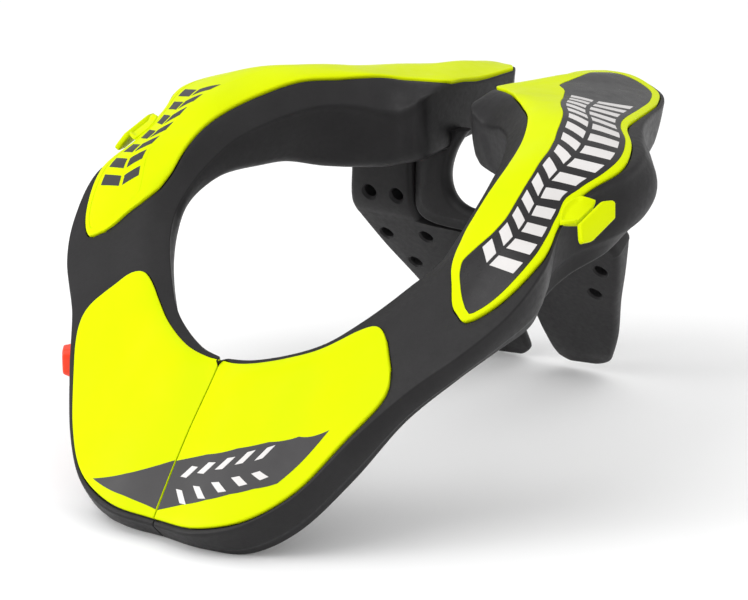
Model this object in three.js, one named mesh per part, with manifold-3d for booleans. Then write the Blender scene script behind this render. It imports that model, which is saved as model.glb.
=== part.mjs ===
// Neck brace for a young motocross rider: two dark moulded halves round an open neck hole,
// yellow panels on the chest and on the arms, strap hooks, a U-shaped rear bridge,
// two perforated back flaps and a red press button at the front closure.
// Sizes in millimetres. +Z is up, the chest end looks along -Y, the wearer's left is +X.
import * as THREE from 'three';
import Module from 'manifold-3d';

const HALF_WIDTH = 125;       // middle plane to the side of an arm
const DEPTH = 250;            // front seam's inner edge to the rear end of the halves
const HEIGHT = 160;           // table to the top of the halves
const FRONT_TO_MIDDLE = 107;  // front seam's inner edge to the middle of the object's length
const SEAM_GAP = 0.6;         // slit between the two halves at the front
const PANEL_THICK = 2.4;      // a yellow panel's thickness
const PANEL_SINK = 1.2;       // depth of a panel in its seat in the half
const PANEL_GAP = 0.5;        // clearance round and under a panel
const HOOK_LENGTH = 30;
const HOOK_WIDTH = 9;
const HOOK_THICK = 3;
const HOOK_STAND = 13.1;      // how far the outer face of a strap hook stands off the arm's rim
const HOOK_BELOW_RIM = 4.6;   // arm's rim down to the middle of the strap hook
const HOOK_RISE = 0.34;       // slope of the strap hook, rise over run
const HOOK_STATION = 9.5;     // place of the strap hook along the half
const STEM_GAP = 0.6;         // arm's rim to the inner end of the hook's stem
const STEM_SHARE = 0.036;     // half the stem's length as a share of DEPTH
const FLAP_HOLE = 7;          // diameter of the holes in the back flaps
const BRIDGE_HALF = 37;       // middle plane to the outer edge of the bridge
const BRIDGE_WIDTH = 24;
const BRIDGE_THICK = 9;
const BRIDGE_ROUND = 2;       // rounding of the bridge's edges
const BRIDGE_PLACE = 0.8;     // rear face of the bridge behind the seam, as a share of DEPTH
const BUTTON_HALF_WIDTH = 8;
const BUTTON_HALF_HEIGHT = 10.5;
const BUTTON_STAND = 8;       // how far the press button stands out of the wall
const BUTTON_DEEP = 7;        // how far the press button reaches into the wall
const BUTTON_SEAT = 11;       // depth of the press button's seat
const BUTTON_STATION = 4.56;  // place of the press button along the half
const BUTTON_RISE = 3.9;      // lower edge of the wall up to the middle of the press button
const SEAT_GAP = 0.4;         // clearance where one piece sits on another
const REAR_TWIST = 2.4;       // rise of the left rear end and fall of the right one, as the brace lies
const TWIST_BLEND = 30;       // distance from the middle plane over which the twist comes in

// The stations of a half, from the front seam round the arm to the gap at the top rear.
// Plan places and heights are shares of HALF_WIDTH, DEPTH and HEIGHT.
const STATION_COLUMNS = [
  'innerX', 'innerY', 'innerZ', 'outerX', 'outerY', 'outerZ',
  'bandAt', 'bandZ', 'crestAt', 'crestZ', 'sideDrop', 'sideTuck', 'bulge', 'neckDrop', 'neckTuck',
];
const STATIONS = [
  [0.000, 0.000, 0.450, 0.000, -0.198, 0.054, 0.15, 0.392, 0.50, 0.266, 0.050, 0.15, 0.000, 0.112, -0.06],
  [0.112, 0.014, 0.456, 0.190, -0.206, 0.066, 0.15, 0.440, 0.50, 0.300, 0.065, 0.18, 0.004, 0.112, -0.06],
  [0.240, 0.044, 0.481, 0.366, -0.180, 0.108, 0.15, 0.472, 0.50, 0.344, 0.106, 0.18, 0.006, 0.118, -0.06],
  [0.344, 0.076, 0.516, 0.516, -0.122, 0.196, 0.15, 0.506, 0.50, 0.394, 0.122, 0.12, 0.010, 0.122, -0.07],
  [0.430, 0.114, 0.569, 0.645, -0.048, 0.344, 0.18, 0.561, 0.55, 0.478, 0.138, 0.10, 0.014, 0.125, -0.06],
  [0.496, 0.148, 0.619, 0.766, 0.028, 0.466, 0.22, 0.612, 0.60, 0.550, 0.106, 0.11, 0.014, 0.125, -0.05],
  [0.552, 0.184, 0.669, 0.904, 0.092, 0.569, 0.25, 0.672, 0.60, 0.634, 0.100, 0.13, 0.014, 0.106, -0.03],
  [0.600, 0.232, 0.719, 0.992, 0.164, 0.660, 0.28, 0.756, 0.55, 0.732, 0.122, 0.14, 0.014, 0.088, 0.00],
  [0.608, 0.280, 0.775, 1.024, 0.244, 0.762, 0.20, 0.828, 0.46, 0.826, 0.188, 0.14, 0.012, 0.081, 0.06],
  [0.600, 0.336, 0.831, 0.976, 0.332, 0.838, 0.19, 0.897, 0.48, 0.896, 0.225, 0.14, 0.000, 0.090, 0.09],
  [0.576, 0.400, 0.881, 0.980, 0.412, 0.900, 0.19, 0.941, 0.46, 0.961, 0.250, 0.14, 0.004, 0.112, 0.10],
  [0.520, 0.480, 0.919, 1.036, 0.496, 0.944, 0.18, 0.981, 0.44, 0.997, 0.256, 0.15, 0.052, 0.156, 0.15],
  [0.440, 0.552, 0.944, 0.988, 0.580, 0.962, 0.18, 1.012, 0.44, 1.024, 0.250, 0.14, 0.092, 0.190, 0.24],
  [0.336, 0.608, 0.944, 0.884, 0.652, 0.969, 0.20, 1.019, 0.44, 1.025, 0.231, 0.12, 0.092, 0.220, 0.29],
  [0.262, 0.634, 0.931, 0.792, 0.736, 0.969, 0.18, 1.019, 0.47, 1.017, 0.206, 0.10, 0.036, 0.222, 0.24],
  [0.214, 0.648, 0.930, 0.716, 0.828, 0.956, 0.16, 1.014, 0.47, 1.006, 0.181, 0.08, 0.012, 0.222, 0.17],
  [0.176, 0.654, 0.940, 0.632, 0.936, 0.938, 0.15, 1.006, 0.44, 1.003, 0.150, 0.06, 0.006, 0.214, 0.11],
  [0.146, 0.660, 0.953, 0.520, 1.024, 0.931, 0.14, 1.001, 0.44, 0.998, 0.131, 0.05, 0.004, 0.216, 0.08],
  [0.122, 0.667, 0.965, 0.352, 1.060, 0.950, 0.15, 0.998, 0.56, 0.996, 0.138, 0.05, 0.004, 0.212, 0.06],
  [0.107, 0.682, 0.972, 0.200, 1.040, 0.959, 0.18, 0.994, 0.60, 0.974, 0.144, 0.05, 0.004, 0.196, 0.05],
  [0.104, 0.712, 0.975, 0.124, 0.996, 0.962, 0.20, 0.985, 0.60, 0.965, 0.150, 0.05, 0.000, 0.175, 0.05],
];
const RINGS = 33;             // cross-sections along a half
const TOP_SHARES = [0.02, 0.09, 0.18, 0.30, 0.45, 0.60, 0.75, 0.88, 0.96];

// Outline of the chest panel: station, inner and outer edge as shares across the top face.
const FRONT_PANEL = [
  [0.00, 0.015, 0.965], [0.60, 0.050, 0.965], [1.40, 0.100, 0.965], [2.20, 0.110, 0.970],
  [3.00, 0.120, 0.965], [3.60, 0.150, 0.955], [4.10, 0.190, 0.945], [4.40, 0.230, 0.930],
  [4.58, 0.280, 0.900], [4.70, 0.360, 0.840], [4.76, 0.470, 0.720],
];
// Outline of the arm panel, from its narrow front tip to the gap.
const SIDE_PANEL = [
  [6.24, 0.640, 0.740], [6.27, 0.590, 0.780], [6.34, 0.530, 0.800], [6.45, 0.460, 0.820],
  [6.70, 0.305, 0.848], [7.00, 0.205, 0.872], [7.25, 0.165, 0.890], [7.86, 0.150, 0.930],
  [8.25, 0.165, 0.960], [8.60, 0.180, 0.975], [9.10, 0.195, 0.975], [9.60, 0.200, 0.972],
  [10.1, 0.195, 0.975], [10.6, 0.178, 0.970], [11.15, 0.165, 0.950], [11.74, 0.160, 0.926],
  [12.4, 0.158, 0.908], [13.2, 0.158, 0.912], [14.2, 0.158, 0.955], [15.3, 0.158, 0.970],
  [16.0, 0.158, 0.970], [17.0, 0.160, 0.970], [18.0, 0.165, 0.972], [19.0, 0.180, 0.970],
  [19.75, 0.195, 0.965],
];
// The printed field inside the arm panel.
const SIDE_GRAPHIC = [
  [6.42, 0.700, 0.765], [6.48, 0.615, 0.782], [6.60, 0.510, 0.798], [6.78, 0.405, 0.815],
  [7.02, 0.350, 0.830], [7.43, 0.375, 0.850], [7.98, 0.450, 0.880], [8.40, 0.495, 0.905],
  [8.78, 0.512, 0.925], [9.15, 0.520, 0.930], [9.60, 0.518, 0.915], [9.95, 0.505, 0.925],
  [10.35, 0.480, 0.925], [10.85, 0.430, 0.905], [11.4, 0.403, 0.890], [12.0, 0.410, 0.872],
  [12.6, 0.425, 0.860], [13.2, 0.435, 0.865], [14.4, 0.465, 0.912], [15.5, 0.460, 0.928],
  [16.6, 0.430, 0.928], [17.0, 0.460, 0.928], [17.3, 0.520, 0.926], [17.6, 0.600, 0.922],
  [18.1, 0.740, 0.905], [18.25, 0.790, 0.895],
];

const INK = { color: 0x3b3a3c, roughness: 0.62, metalness: 0 };
const YELLOW = { color: 0xf2fa08, roughness: 0.42, metalness: 0 };
const PRINT = { color: 0x4a474b, roughness: 0.3, metalness: 0 };
const RED = { color: 0xf43c1e, roughness: 0.4, metalness: 0 };

const manifold = await Module();
manifold.setup();

const group = new THREE.Group();
group.name = 'neck_brace';

/** Smooth curve through equally spaced values, read at place t. */
function throughValues(values, t) {
  const last = values.length - 1;
  const i = Math.max(0, Math.min(last - 1, Math.floor(t)));
  const s = t - i;
  const a = values[Math.max(0, i - 1)];
  const b = values[i];
  const c = values[i + 1];
  const d = values[Math.min(last, i + 2)];
  const m0 = i === 0 ? c - b : (c - a) / 2;
  const m1 = i + 1 === last ? c - b : (d - b) / 2;
  const s2 = s * s;
  const s3 = s2 * s;
  return (2 * s3 - 3 * s2 + 1) * b + (s3 - 2 * s2 + s) * m0 + (3 * s2 - 2 * s3) * c + (s3 - s2) * m1;
}

/** The named columns of the half at place u between its stations, in millimetres. */
function station(u) {
  const row = {};
  STATION_COLUMNS.forEach((name, i) => {
    row[name] = throughValues(STATIONS.map((line) => line[i]), u);
  });
  return row;
}

/** Height that rises and falls without overshoot through four (place, height) pairs. */
function gentle(knots, v) {
  const n = knots.length;
  const slope = [];
  for (let i = 0; i < n - 1; i += 1) {
    slope.push((knots[i + 1][1] - knots[i][1]) / (knots[i + 1][0] - knots[i][0]));
  }
  const m = knots.map((_, i) => {
    if (i === 0) return slope[0];
    if (i === n - 1) return slope[n - 2];
    if (slope[i - 1] * slope[i] <= 0) return 0;
    return (2 * slope[i - 1] * slope[i]) / (slope[i - 1] + slope[i]);
  });
  let k = 0;
  while (k < n - 2 && v > knots[k + 1][0]) k += 1;
  const h = knots[k + 1][0] - knots[k][0];
  const s = (v - knots[k][0]) / h;
  const s2 = s * s;
  const s3 = s2 * s;
  return (2 * s3 - 3 * s2 + 1) * knots[k][1] + (s3 - 2 * s2 + s) * h * m[k]
    + (3 * s2 - 2 * s3) * knots[k + 1][1] + (s3 - s2) * h * m[k + 1];
}

/** Point of a left half's top face at place u along and share v across. */
function topPoint(u, v) {
  const r = station(u);
  const z = gentle([[0, r.innerZ], [r.bandAt, r.bandZ], [r.crestAt, r.crestZ], [1, r.outerZ]], v);
  return new THREE.Vector3(
    HALF_WIDTH * (r.innerX + (r.outerX - r.innerX) * v) + SEAM_GAP / 2,
    DEPTH * (r.innerY + (r.outerY - r.innerY) * v) - FRONT_TO_MIDDLE,
    HEIGHT * z,
  );
}

/** Direction square to the top face at (u, v). */
function topNormal(u, v) {
  const a = topPoint(Math.max(0, u - 0.05), v);
  const b = topPoint(Math.min(STATIONS.length - 1, u + 0.05), v);
  const c = topPoint(u, Math.max(0, v - 0.02));
  const d = topPoint(u, Math.min(1, v + 0.02));
  return d.sub(c).cross(b.sub(a)).normalize();
}

/** The four corners of the left half's cross-section at place u, and the way across it. */
function corners(u) {
  const r = station(u);
  const inner = topPoint(u, 0);
  const outer = topPoint(u, 1);
  const across = outer.clone().sub(inner).setZ(0);
  const width = across.length();
  across.normalize();
  const low = outer.clone().addScaledVector(across, -r.sideTuck * width);
  low.z -= r.sideDrop * HEIGHT;
  const under = inner.clone().addScaledVector(across, r.neckTuck * width);
  under.z -= r.neckDrop * HEIGHT;
  return { inner, outer, low, under, across, bulge: r.bulge };
}

/** One closed cross-section of the left half. */
function halfSection(u) {
  const { inner, outer, low, under, across, bulge } = corners(u);
  const points = TOP_SHARES.map((v) => topPoint(u, v));
  for (const t of [0.1, 0.35, 0.65, 0.92]) {
    const p = outer.clone().lerp(low, t);
    points.push(p.addScaledVector(across, bulge * HALF_WIDTH * Math.sin(Math.PI * t)));
  }
  for (const t of [0.04, 0.35, 0.7, 0.95]) points.push(low.clone().lerp(under, t));
  for (const t of [0.12, 0.5, 0.88]) {
    const p = under.clone().lerp(inner, t);
    points.push(p.addScaledVector(across, -0.006 * HALF_WIDTH * Math.sin(Math.PI * t)));
  }
  return points;
}

/** Closed mesh through rings of equally many points, with triangulated end caps. */
function loft(rings) {
  const n = rings[0].length;
  const places = rings.flat().flatMap((p) => [p.x, p.y, p.z]);
  const faces = [];
  for (let i = 0; i < rings.length - 1; i += 1) {
    for (let j = 0; j < n; j += 1) {
      const k = (j + 1) % n;
      const a = i * n + j;
      const b = i * n + k;
      const c = (i + 1) * n + k;
      const d = (i + 1) * n + j;
      faces.push(a, b, c, a, c, d);
    }
  }
  capRing(rings[0]).forEach(([a, b, c]) => faces.push(a, c, b));
  const base = (rings.length - 1) * n;
  capRing(rings[rings.length - 1]).forEach(([a, b, c]) => faces.push(base + a, base + b, base + c));
  return solidFrom(places, faces);
}

/** Triangles that fill one ring, wound like the ring itself. */
function capRing(ring) {
  const normal = new THREE.Vector3();
  ring.forEach((p, i) => normal.add(p.clone().cross(ring[(i + 1) % ring.length])));
  normal.normalize();
  const side = new THREE.Vector3().subVectors(ring[1], ring[0]).normalize();
  const up = normal.clone().cross(side);
  const flat = ring.map((p) => new THREE.Vector2(p.dot(side), p.dot(up)));
  return THREE.ShapeUtils.triangulateShape(flat, []);
}

/** Indexed geometry that faces out. */
function solidFrom(places, faces) {
  const geometry = new THREE.BufferGeometry();
  geometry.setAttribute('position', new THREE.Float32BufferAttribute(places, 3));
  geometry.setIndex(faces);
  let volume = 0;
  const p = (i) => new THREE.Vector3(places[3 * i], places[3 * i + 1], places[3 * i + 2]);
  for (let i = 0; i < faces.length; i += 3) {
    volume += p(faces[i]).dot(p(faces[i + 1]).cross(p(faces[i + 2])));
  }
  if (volume < 0) geometry.setIndex(faces.map((_, i) => faces[i - (i % 3) + [0, 2, 1][i % 3]]));
  return geometry;
}

/** Read an outline table [place, inner, outer] at place u. */
function outlineAt(table, u) {
  let k = 0;
  while (k < table.length - 2 && u > table[k + 1][0]) k += 1;
  const s = (u - table[k][0]) / (table[k + 1][0] - table[k][0]);
  return [1, 2].map((c) => table[k][c] + (table[k + 1][c] - table[k][c]) * s);
}

/** Plate that follows the top face inside an outline, grown all round by some millimetres. */
function plateOn(table, columns, rows, lift, thick, grow) {
  const first = table[0][0];
  const last = table[table.length - 1][0];
  const rings = [];
  for (let i = 0; i <= columns; i += 1) {
    const u = first + ((last - first) * i) / columns;
    const wide = topPoint(u, 1).distanceTo(topPoint(u, 0));
    const [inner, outer] = outlineAt(table, u);
    const from = inner - grow / wide;
    const to = outer + grow / wide;
    const reach = ((i === columns) - (i === 0)) * grow;
    const high = [];
    const deep = [];
    for (let j = 0; j <= rows; j += 1) {
      const v = from + ((to - from) * j) / rows;
      const p = topPoint(u, v);
      const square = topNormal(u, v);
      p.addScaledVector(alongDirection(u, v), reach);
      high.push(besideSeam(p.clone().addScaledVector(square, lift + thick), grow));
      deep.push(besideSeam(p.clone().addScaledVector(square, lift), grow));
    }
    rings.push([...high, ...deep.reverse()]);
  }
  return loft(rings);
}

/** Unit step along the half at (u, v). */
function alongDirection(u, v) {
  const a = topPoint(Math.max(0, u - 0.05), v);
  const b = topPoint(Math.min(STATIONS.length - 1, u + 0.05), v);
  return b.sub(a).normalize();
}

/** Hold a point on its own side of the front seam. */
function besideSeam(p, grow) {
  if (p.x < SEAM_GAP / 2 - grow) p.setX(SEAM_GAP / 2 - grow);
  return p;
}

/** The same geometry on the wearer's other side. */
function mirrored(geometry) {
  const copy = geometry.clone();
  copy.scale(-1, 1, 1);
  const index = Array.from(copy.index.array);
  copy.setIndex(index.map((_, i) => index[i - (i % 3) + [0, 2, 1][i % 3]]));
  return copy;
}

/** Keep position and index only. */
function bare(geometry) {
  const copy = geometry.clone();
  copy.deleteAttribute('normal');
  copy.deleteAttribute('uv');
  return mergeSame(copy);
}

/** Join vertices that lie in the same place. */
function mergeSame(geometry) {
  const seen = new Map();
  const places = [];
  const index = [];
  const source = geometry.getAttribute('position');
  const order = geometry.index
    ? Array.from(geometry.index.array)
    : Array.from({ length: source.count }, (_, i) => i);
  for (const i of order) {
    const key = [source.getX(i), source.getY(i), source.getZ(i)].map((c) => c.toFixed(4)).join(' ');
    if (!seen.has(key)) {
      seen.set(key, places.length / 3);
      places.push(source.getX(i), source.getY(i), source.getZ(i));
    }
    index.push(seen.get(key));
  }
  const faces = [];
  for (let i = 0; i < index.length; i += 3) {
    const [a, b, c] = index.slice(i, i + 3);
    if (a !== b && b !== c && c !== a) faces.push(a, b, c);
  }
  const merged = new THREE.BufferGeometry();
  merged.setAttribute('position', new THREE.Float32BufferAttribute(places, 3));
  merged.setIndex(faces);
  return merged;
}

/** Solid body for cutting and joining. */
function body(geometry) {
  const plain = bare(geometry);
  return new manifold.Manifold(new manifold.Mesh({
    numProp: 3,
    vertProperties: new Float32Array(plain.getAttribute('position').array),
    triVerts: new Uint32Array(plain.index.array),
  }));
}

/** Geometry of a solid body's main piece, without cutting crumbs. */
function geometryOf(solid) {
  const pieces = solid.decompose();
  pieces.sort((a, b) => b.volume() - a.volume());
  const mesh = pieces[0].getMesh();
  const geometry = new THREE.BufferGeometry();
  geometry.setAttribute('position', new THREE.Float32BufferAttribute(mesh.vertProperties, 3));
  geometry.setIndex(Array.from(mesh.triVerts));
  return geometry;
}

/** Add one named piece. */
function add(name, geometry, finish) {
  const mesh = new THREE.Mesh(geometry, new THREE.MeshStandardMaterial(finish));
  mesh.name = name;
  group.add(mesh);
}

/** Raise the rear of the left side and lower the rear of the right side. */
function twisted(geometry) {
  const copy = geometry.clone();
  const places = copy.getAttribute('position');
  for (let i = 0; i < places.count; i += 1) {
    const back = Math.max(0, (places.getY(i) + FRONT_TO_MIDDLE) / DEPTH);
    const side = Math.max(-1, Math.min(1, places.getX(i) / TWIST_BLEND));
    places.setZ(i, places.getZ(i) + REAR_TWIST * side * back * back);
  }
  return copy;
}

/** Add a piece and its twin on the wearer's other side, as the brace lies. */
function addPair(name, geometry, finish) {
  add(`${name}_left`, twisted(geometry), finish);
  add(`${name}_right`, twisted(mirrored(geometry)), finish);
}

/** Solid bar with the given outline, pushed along a direction. */
function bar(outline, origin, sideways, upward, length) {
  const out = new THREE.Vector3().crossVectors(sideways, upward).normalize();
  const ring = (d) => outline.map(([a, b]) => origin.clone()
    .addScaledVector(sideways, a).addScaledVector(upward, b).addScaledVector(out, d));
  return loft([ring(0), ring(length)]);
}

/** Six-cornered outline of a strap hook's cap. */
function capOutline() {
  const a = HOOK_LENGTH / 2;
  const b = HOOK_WIDTH / 2;
  return [[-a, -0.4 * b], [-0.72 * a, -b], [0.66 * a, -b], [a, -0.2 * b], [0.86 * a, b], [-0.6 * a, b]];
}

/** Left strap hook on the arm's rim: a six-cornered cap on a short stem. */
function strapHook() {
  const along = new THREE.Vector3(0, 1, HOOK_RISE).normalize();
  const up = new THREE.Vector3(0, -HOOK_RISE, 1).normalize();
  const rim = topPoint(HOOK_STATION, 1);
  rim.z -= HOOK_BELOW_RIM;
  const stemLong = HOOK_STAND - HOOK_THICK;
  const middle = rim.clone().setX(rim.x + stemLong);
  const cap = body(bar(capOutline(), middle, along, up, HOOK_THICK));
  const a = STEM_SHARE * DEPTH;
  const b = HOOK_WIDTH / 2;
  const stemLine = [[-a, -0.5 * b], [a, -0.5 * b], [0.78 * a, 0.76 * b], [-0.78 * a, 0.76 * b]];
  const start = rim.clone().setX(rim.x + STEM_GAP);
  const stem = body(bar(stemLine, start, along, up, stemLong - STEM_GAP + HOOK_THICK / 4));
  return geometryOf(cap.add(stem));
}

/** U-shaped bridge low at the rear, its arms cut to sit just under the halves. */
function rearBridge(halves) {
  const w = BRIDGE_HALF;
  const h = HEIGHT;
  const inside = w - BRIDGE_WIDTH;
  const shape = new THREE.Shape();
  shape.moveTo(w, 0.8 * h);
  shape.lineTo(w, 0.6 * h);
  shape.bezierCurveTo(w, 0.544 * h, 0.8 * w, 0.525 * h, 0, 0.525 * h);
  shape.bezierCurveTo(-0.8 * w, 0.525 * h, -w, 0.544 * h, -w, 0.6 * h);
  shape.lineTo(-w, 0.8 * h);
  shape.lineTo(-0.45 * inside, 0.825 * h);
  shape.bezierCurveTo(-1.78 * inside, 0.725 * h, -1.52 * inside, 0.597 * h, 0, 0.597 * h);
  shape.bezierCurveTo(1.52 * inside, 0.597 * h, 1.78 * inside, 0.725 * h, 0.45 * inside, 0.825 * h);
  const raw = new THREE.ExtrudeGeometry(shape, {
    depth: BRIDGE_THICK - 2 * BRIDGE_ROUND,
    bevelEnabled: true,
    bevelSize: BRIDGE_ROUND,
    bevelThickness: BRIDGE_ROUND,
    bevelOffset: -BRIDGE_ROUND,
    bevelSegments: 2,
    curveSegments: 10,
  });
  raw.rotateX(Math.PI / 2);
  raw.translate(0, BRIDGE_PLACE * DEPTH - BRIDGE_ROUND - FRONT_TO_MIDDLE, 0);
  let bridge = body(twisted(bare(raw)));
  for (const one of halves) bridge = bridge.subtract(one.translate([0, 0, -SEAT_GAP]));
  return geometryOf(bridge);
}

// Rows of a back flap from its top edge to its foot: place behind the seam, height, middle plane
// to the inner and to the outer edge, as shares of DEPTH, HEIGHT and HALF_WIDTH, and thickness.
// The first four rows pass beside the bridge, so their inner edge is measured from it.
const FLAP_COLUMNS = ['place', 'height', 'inner', 'outer', 'thick'];
const FLAP_ROWS = [
  [0.757, 0.790, 0.000, 0.590, 15.0],
  [0.764, 0.612, 0.000, 0.612, 15.0],
  [0.780, 0.544, 0.000, 0.628, 15.0],
  [0.792, 0.519, 0.000, 0.630, 15.0],
  [0.798, 0.506, 0.080, 0.624, 14.0],
  [0.844, 0.400, 0.072, 0.568, 11.0],
  [0.896, 0.287, 0.064, 0.496, 9.0],
  [0.960, 0.150, 0.056, 0.416, 7.0],
  [1.000, 0.069, 0.060, 0.352, 5.0],
  [1.018, 0.037, 0.066, 0.320, 4.0],
  [1.028, 0.016, 0.092, 0.272, 3.0],
];
const FLAP_ROWS_BESIDE_BRIDGE = 4;
// Holes of a back flap: shares of HALF_WIDTH and HEIGHT.
const FLAP_HOLES = [[0.512, 0.600], [0.376, 0.606], [0.512, 0.444], [0.304, 0.462], [0.432, 0.344]];

/** The flap's rows in millimetres. */
function flapRows() {
  return FLAP_ROWS.map((line, i) => {
    const row = Object.fromEntries(FLAP_COLUMNS.map((name, c) => [name, line[c]]));
    return {
      y: row.place * DEPTH - FRONT_TO_MIDDLE,
      z: row.height * HEIGHT,
      from: i < FLAP_ROWS_BESIDE_BRIDGE ? BRIDGE_HALF + SEAT_GAP : row.inner * HALF_WIDTH,
      to: row.outer * HALF_WIDTH,
      thick: row.thick,
    };
  });
}

/** Left back flap with its round holes, its top cut to sit just under the left half. */
function backFlap(above) {
  const rows = flapRows();
  const sections = rows.map((row, i) => {
    const before = rows[Math.max(0, i - 1)];
    const after = rows[Math.min(rows.length - 1, i + 1)];
    const back = new THREE.Vector3(0, before.z - after.z, after.y - before.y).normalize();
    const front = [0, 1, 2, 3, 4].map((j) => (
      new THREE.Vector3(row.from + ((row.to - row.from) * j) / 4, row.y, row.z)
    ));
    const rear = front.map((p) => p.clone().addScaledVector(back, row.thick)).reverse();
    return [...front, ...rear];
  });
  let flap = body(loft(sections));
  for (const [xShare, zShare] of FLAP_HOLES) {
    const z = zShare * HEIGHT;
    const k = rows.findIndex((row) => row.z <= z);
    const [high, low] = [rows[k - 1], rows[k]];
    const y = high.y + ((low.y - high.y) * (high.z - z)) / (high.z - low.z);
    const axis = new THREE.Vector3(0, high.z - low.z, low.y - high.y).normalize();
    const pin = new THREE.CylinderGeometry(FLAP_HOLE / 2, FLAP_HOLE / 2, HEIGHT / 3, 12);
    pin.applyQuaternion(new THREE.Quaternion().setFromUnitVectors(new THREE.Vector3(0, 1, 0), axis));
    pin.translate(xShare * HALF_WIDTH, y, z);
    flap = flap.subtract(body(pin));
  }
  return geometryOf(flap.subtract(above.translate([0, 0, -SEAT_GAP])));
}

/** Eight-cornered block across the front wall of the right half, for the press button and its seat. */
function pressBlock(grow, from, to) {
  const out = new THREE.Vector3(-0.78, -0.62, 0).normalize();
  const up = new THREE.Vector3(0, 0, 1);
  const a = BUTTON_HALF_WIDTH + grow;
  const b = BUTTON_HALF_HEIGHT + grow;
  const outline = [
    [-a, -0.6 * b], [-0.7 * a, -b], [0.7 * a, -b], [a, -0.6 * b],
    [a, 0.6 * b], [0.7 * a, b], [-0.7 * a, b], [-a, 0.6 * b],
  ];
  const { low } = corners(BUTTON_STATION);
  const middle = new THREE.Vector3(-low.x, low.y, low.z + BUTTON_RISE).addScaledVector(out, from);
  return bar(outline, middle, up.clone().cross(out).normalize(), up, to - from);
}

const lastStation = STATIONS.length - 1;
const rings = [];
for (let i = 0; i <= RINGS; i += 1) rings.push(halfSection((lastStation * i) / RINGS));
const half = body(loft(rings))
  .subtract(body(plateOn(FRONT_PANEL, 14, 6, -PANEL_SINK - PANEL_GAP, 3 * PANEL_THICK, PANEL_GAP)))
  .subtract(body(plateOn(SIDE_PANEL, 34, 6, -PANEL_SINK - PANEL_GAP, 3 * PANEL_THICK, PANEL_GAP)))
  .subtract(body(plateOn(SIDE_PANEL, 34, 6, -PANEL_SINK, PANEL_THICK, 0)));
const rightHalf = body(twisted(mirrored(bare(geometryOf(half)))));
const leftHalf = body(twisted(geometryOf(half)));
add('collar_left', geometryOf(leftHalf), INK);
const seat = body(pressBlock(SEAT_GAP, -BUTTON_SEAT, 2 * BUTTON_SEAT));
add('collar_right', geometryOf(rightHalf.subtract(seat)), INK);
addPair('front_panel', plateOn(FRONT_PANEL, 14, 6, -PANEL_SINK, PANEL_THICK, 0), YELLOW);
const field = plateOn(SIDE_GRAPHIC, 26, 4, -PANEL_SINK, PANEL_THICK, 0);
const sidePanel = body(plateOn(SIDE_PANEL, 34, 6, -PANEL_SINK, PANEL_THICK, 0))
  .subtract(body(plateOn(SIDE_GRAPHIC, 26, 4, -PANEL_SINK - PANEL_THICK, 4 * PANEL_THICK, SEAT_GAP)))
  .subtract(body(field));
addPair('side_panel', geometryOf(sidePanel), YELLOW);
add('side_graphic_left', twisted(field), PRINT);
add('side_graphic_right', twisted(mirrored(field)), YELLOW);
addPair('strap_hook', strapHook(), YELLOW);
add('rear_bridge', rearBridge([leftHalf, rightHalf]), INK);
addPair('back_flap', backFlap(half), INK);
add('release_button', pressBlock(0, -BUTTON_DEEP, BUTTON_STAND), RED);

export default group;
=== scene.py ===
import logging
import math
from dataclasses import dataclass, field
from enum import Enum
from typing import NamedTuple

import bmesh
import bpy
import numpy as np
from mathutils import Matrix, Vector


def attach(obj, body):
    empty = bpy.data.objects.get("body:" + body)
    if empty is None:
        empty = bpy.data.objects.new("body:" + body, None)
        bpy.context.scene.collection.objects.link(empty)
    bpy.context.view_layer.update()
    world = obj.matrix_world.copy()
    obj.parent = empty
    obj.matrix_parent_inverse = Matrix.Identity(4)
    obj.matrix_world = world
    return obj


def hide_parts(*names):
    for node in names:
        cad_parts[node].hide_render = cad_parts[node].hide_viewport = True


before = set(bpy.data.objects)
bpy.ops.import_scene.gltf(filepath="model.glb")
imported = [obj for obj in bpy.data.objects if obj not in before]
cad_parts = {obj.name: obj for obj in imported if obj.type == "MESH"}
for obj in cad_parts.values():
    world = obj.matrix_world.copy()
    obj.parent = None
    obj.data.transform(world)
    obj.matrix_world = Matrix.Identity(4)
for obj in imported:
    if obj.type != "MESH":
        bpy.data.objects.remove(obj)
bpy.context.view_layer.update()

LOG = logging.getLogger("neck_brace")
Array = np.ndarray
Arrays = tuple[np.ndarray, ...]
Piece = bpy.types.Object
Socket = bpy.types.NodeSocket
Colour = tuple[float, float, float]


class Side(Enum):
    """The wearer's side that a piece belongs to, as a factor on x."""

    LEFT = 1
    RIGHT = -1

    @property
    def word(self) -> str:
        """The side's name as it stands in a piece's name."""
        return self.name.lower()


class Slot(Enum):
    """The finishes that the record names."""

    INK = "ink"
    YELLOW = "yellow"
    PRINT = "print"
    RED = "red"


# ---------------------------------------------------------------- finishes


class Waves(NamedTuple):
    """A soft noise: waves in a metre, octaves, place in the fourth dimension, and relief in metres."""

    per_metre: float
    detail: float
    seed: float
    depth: float = 0.0


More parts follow.
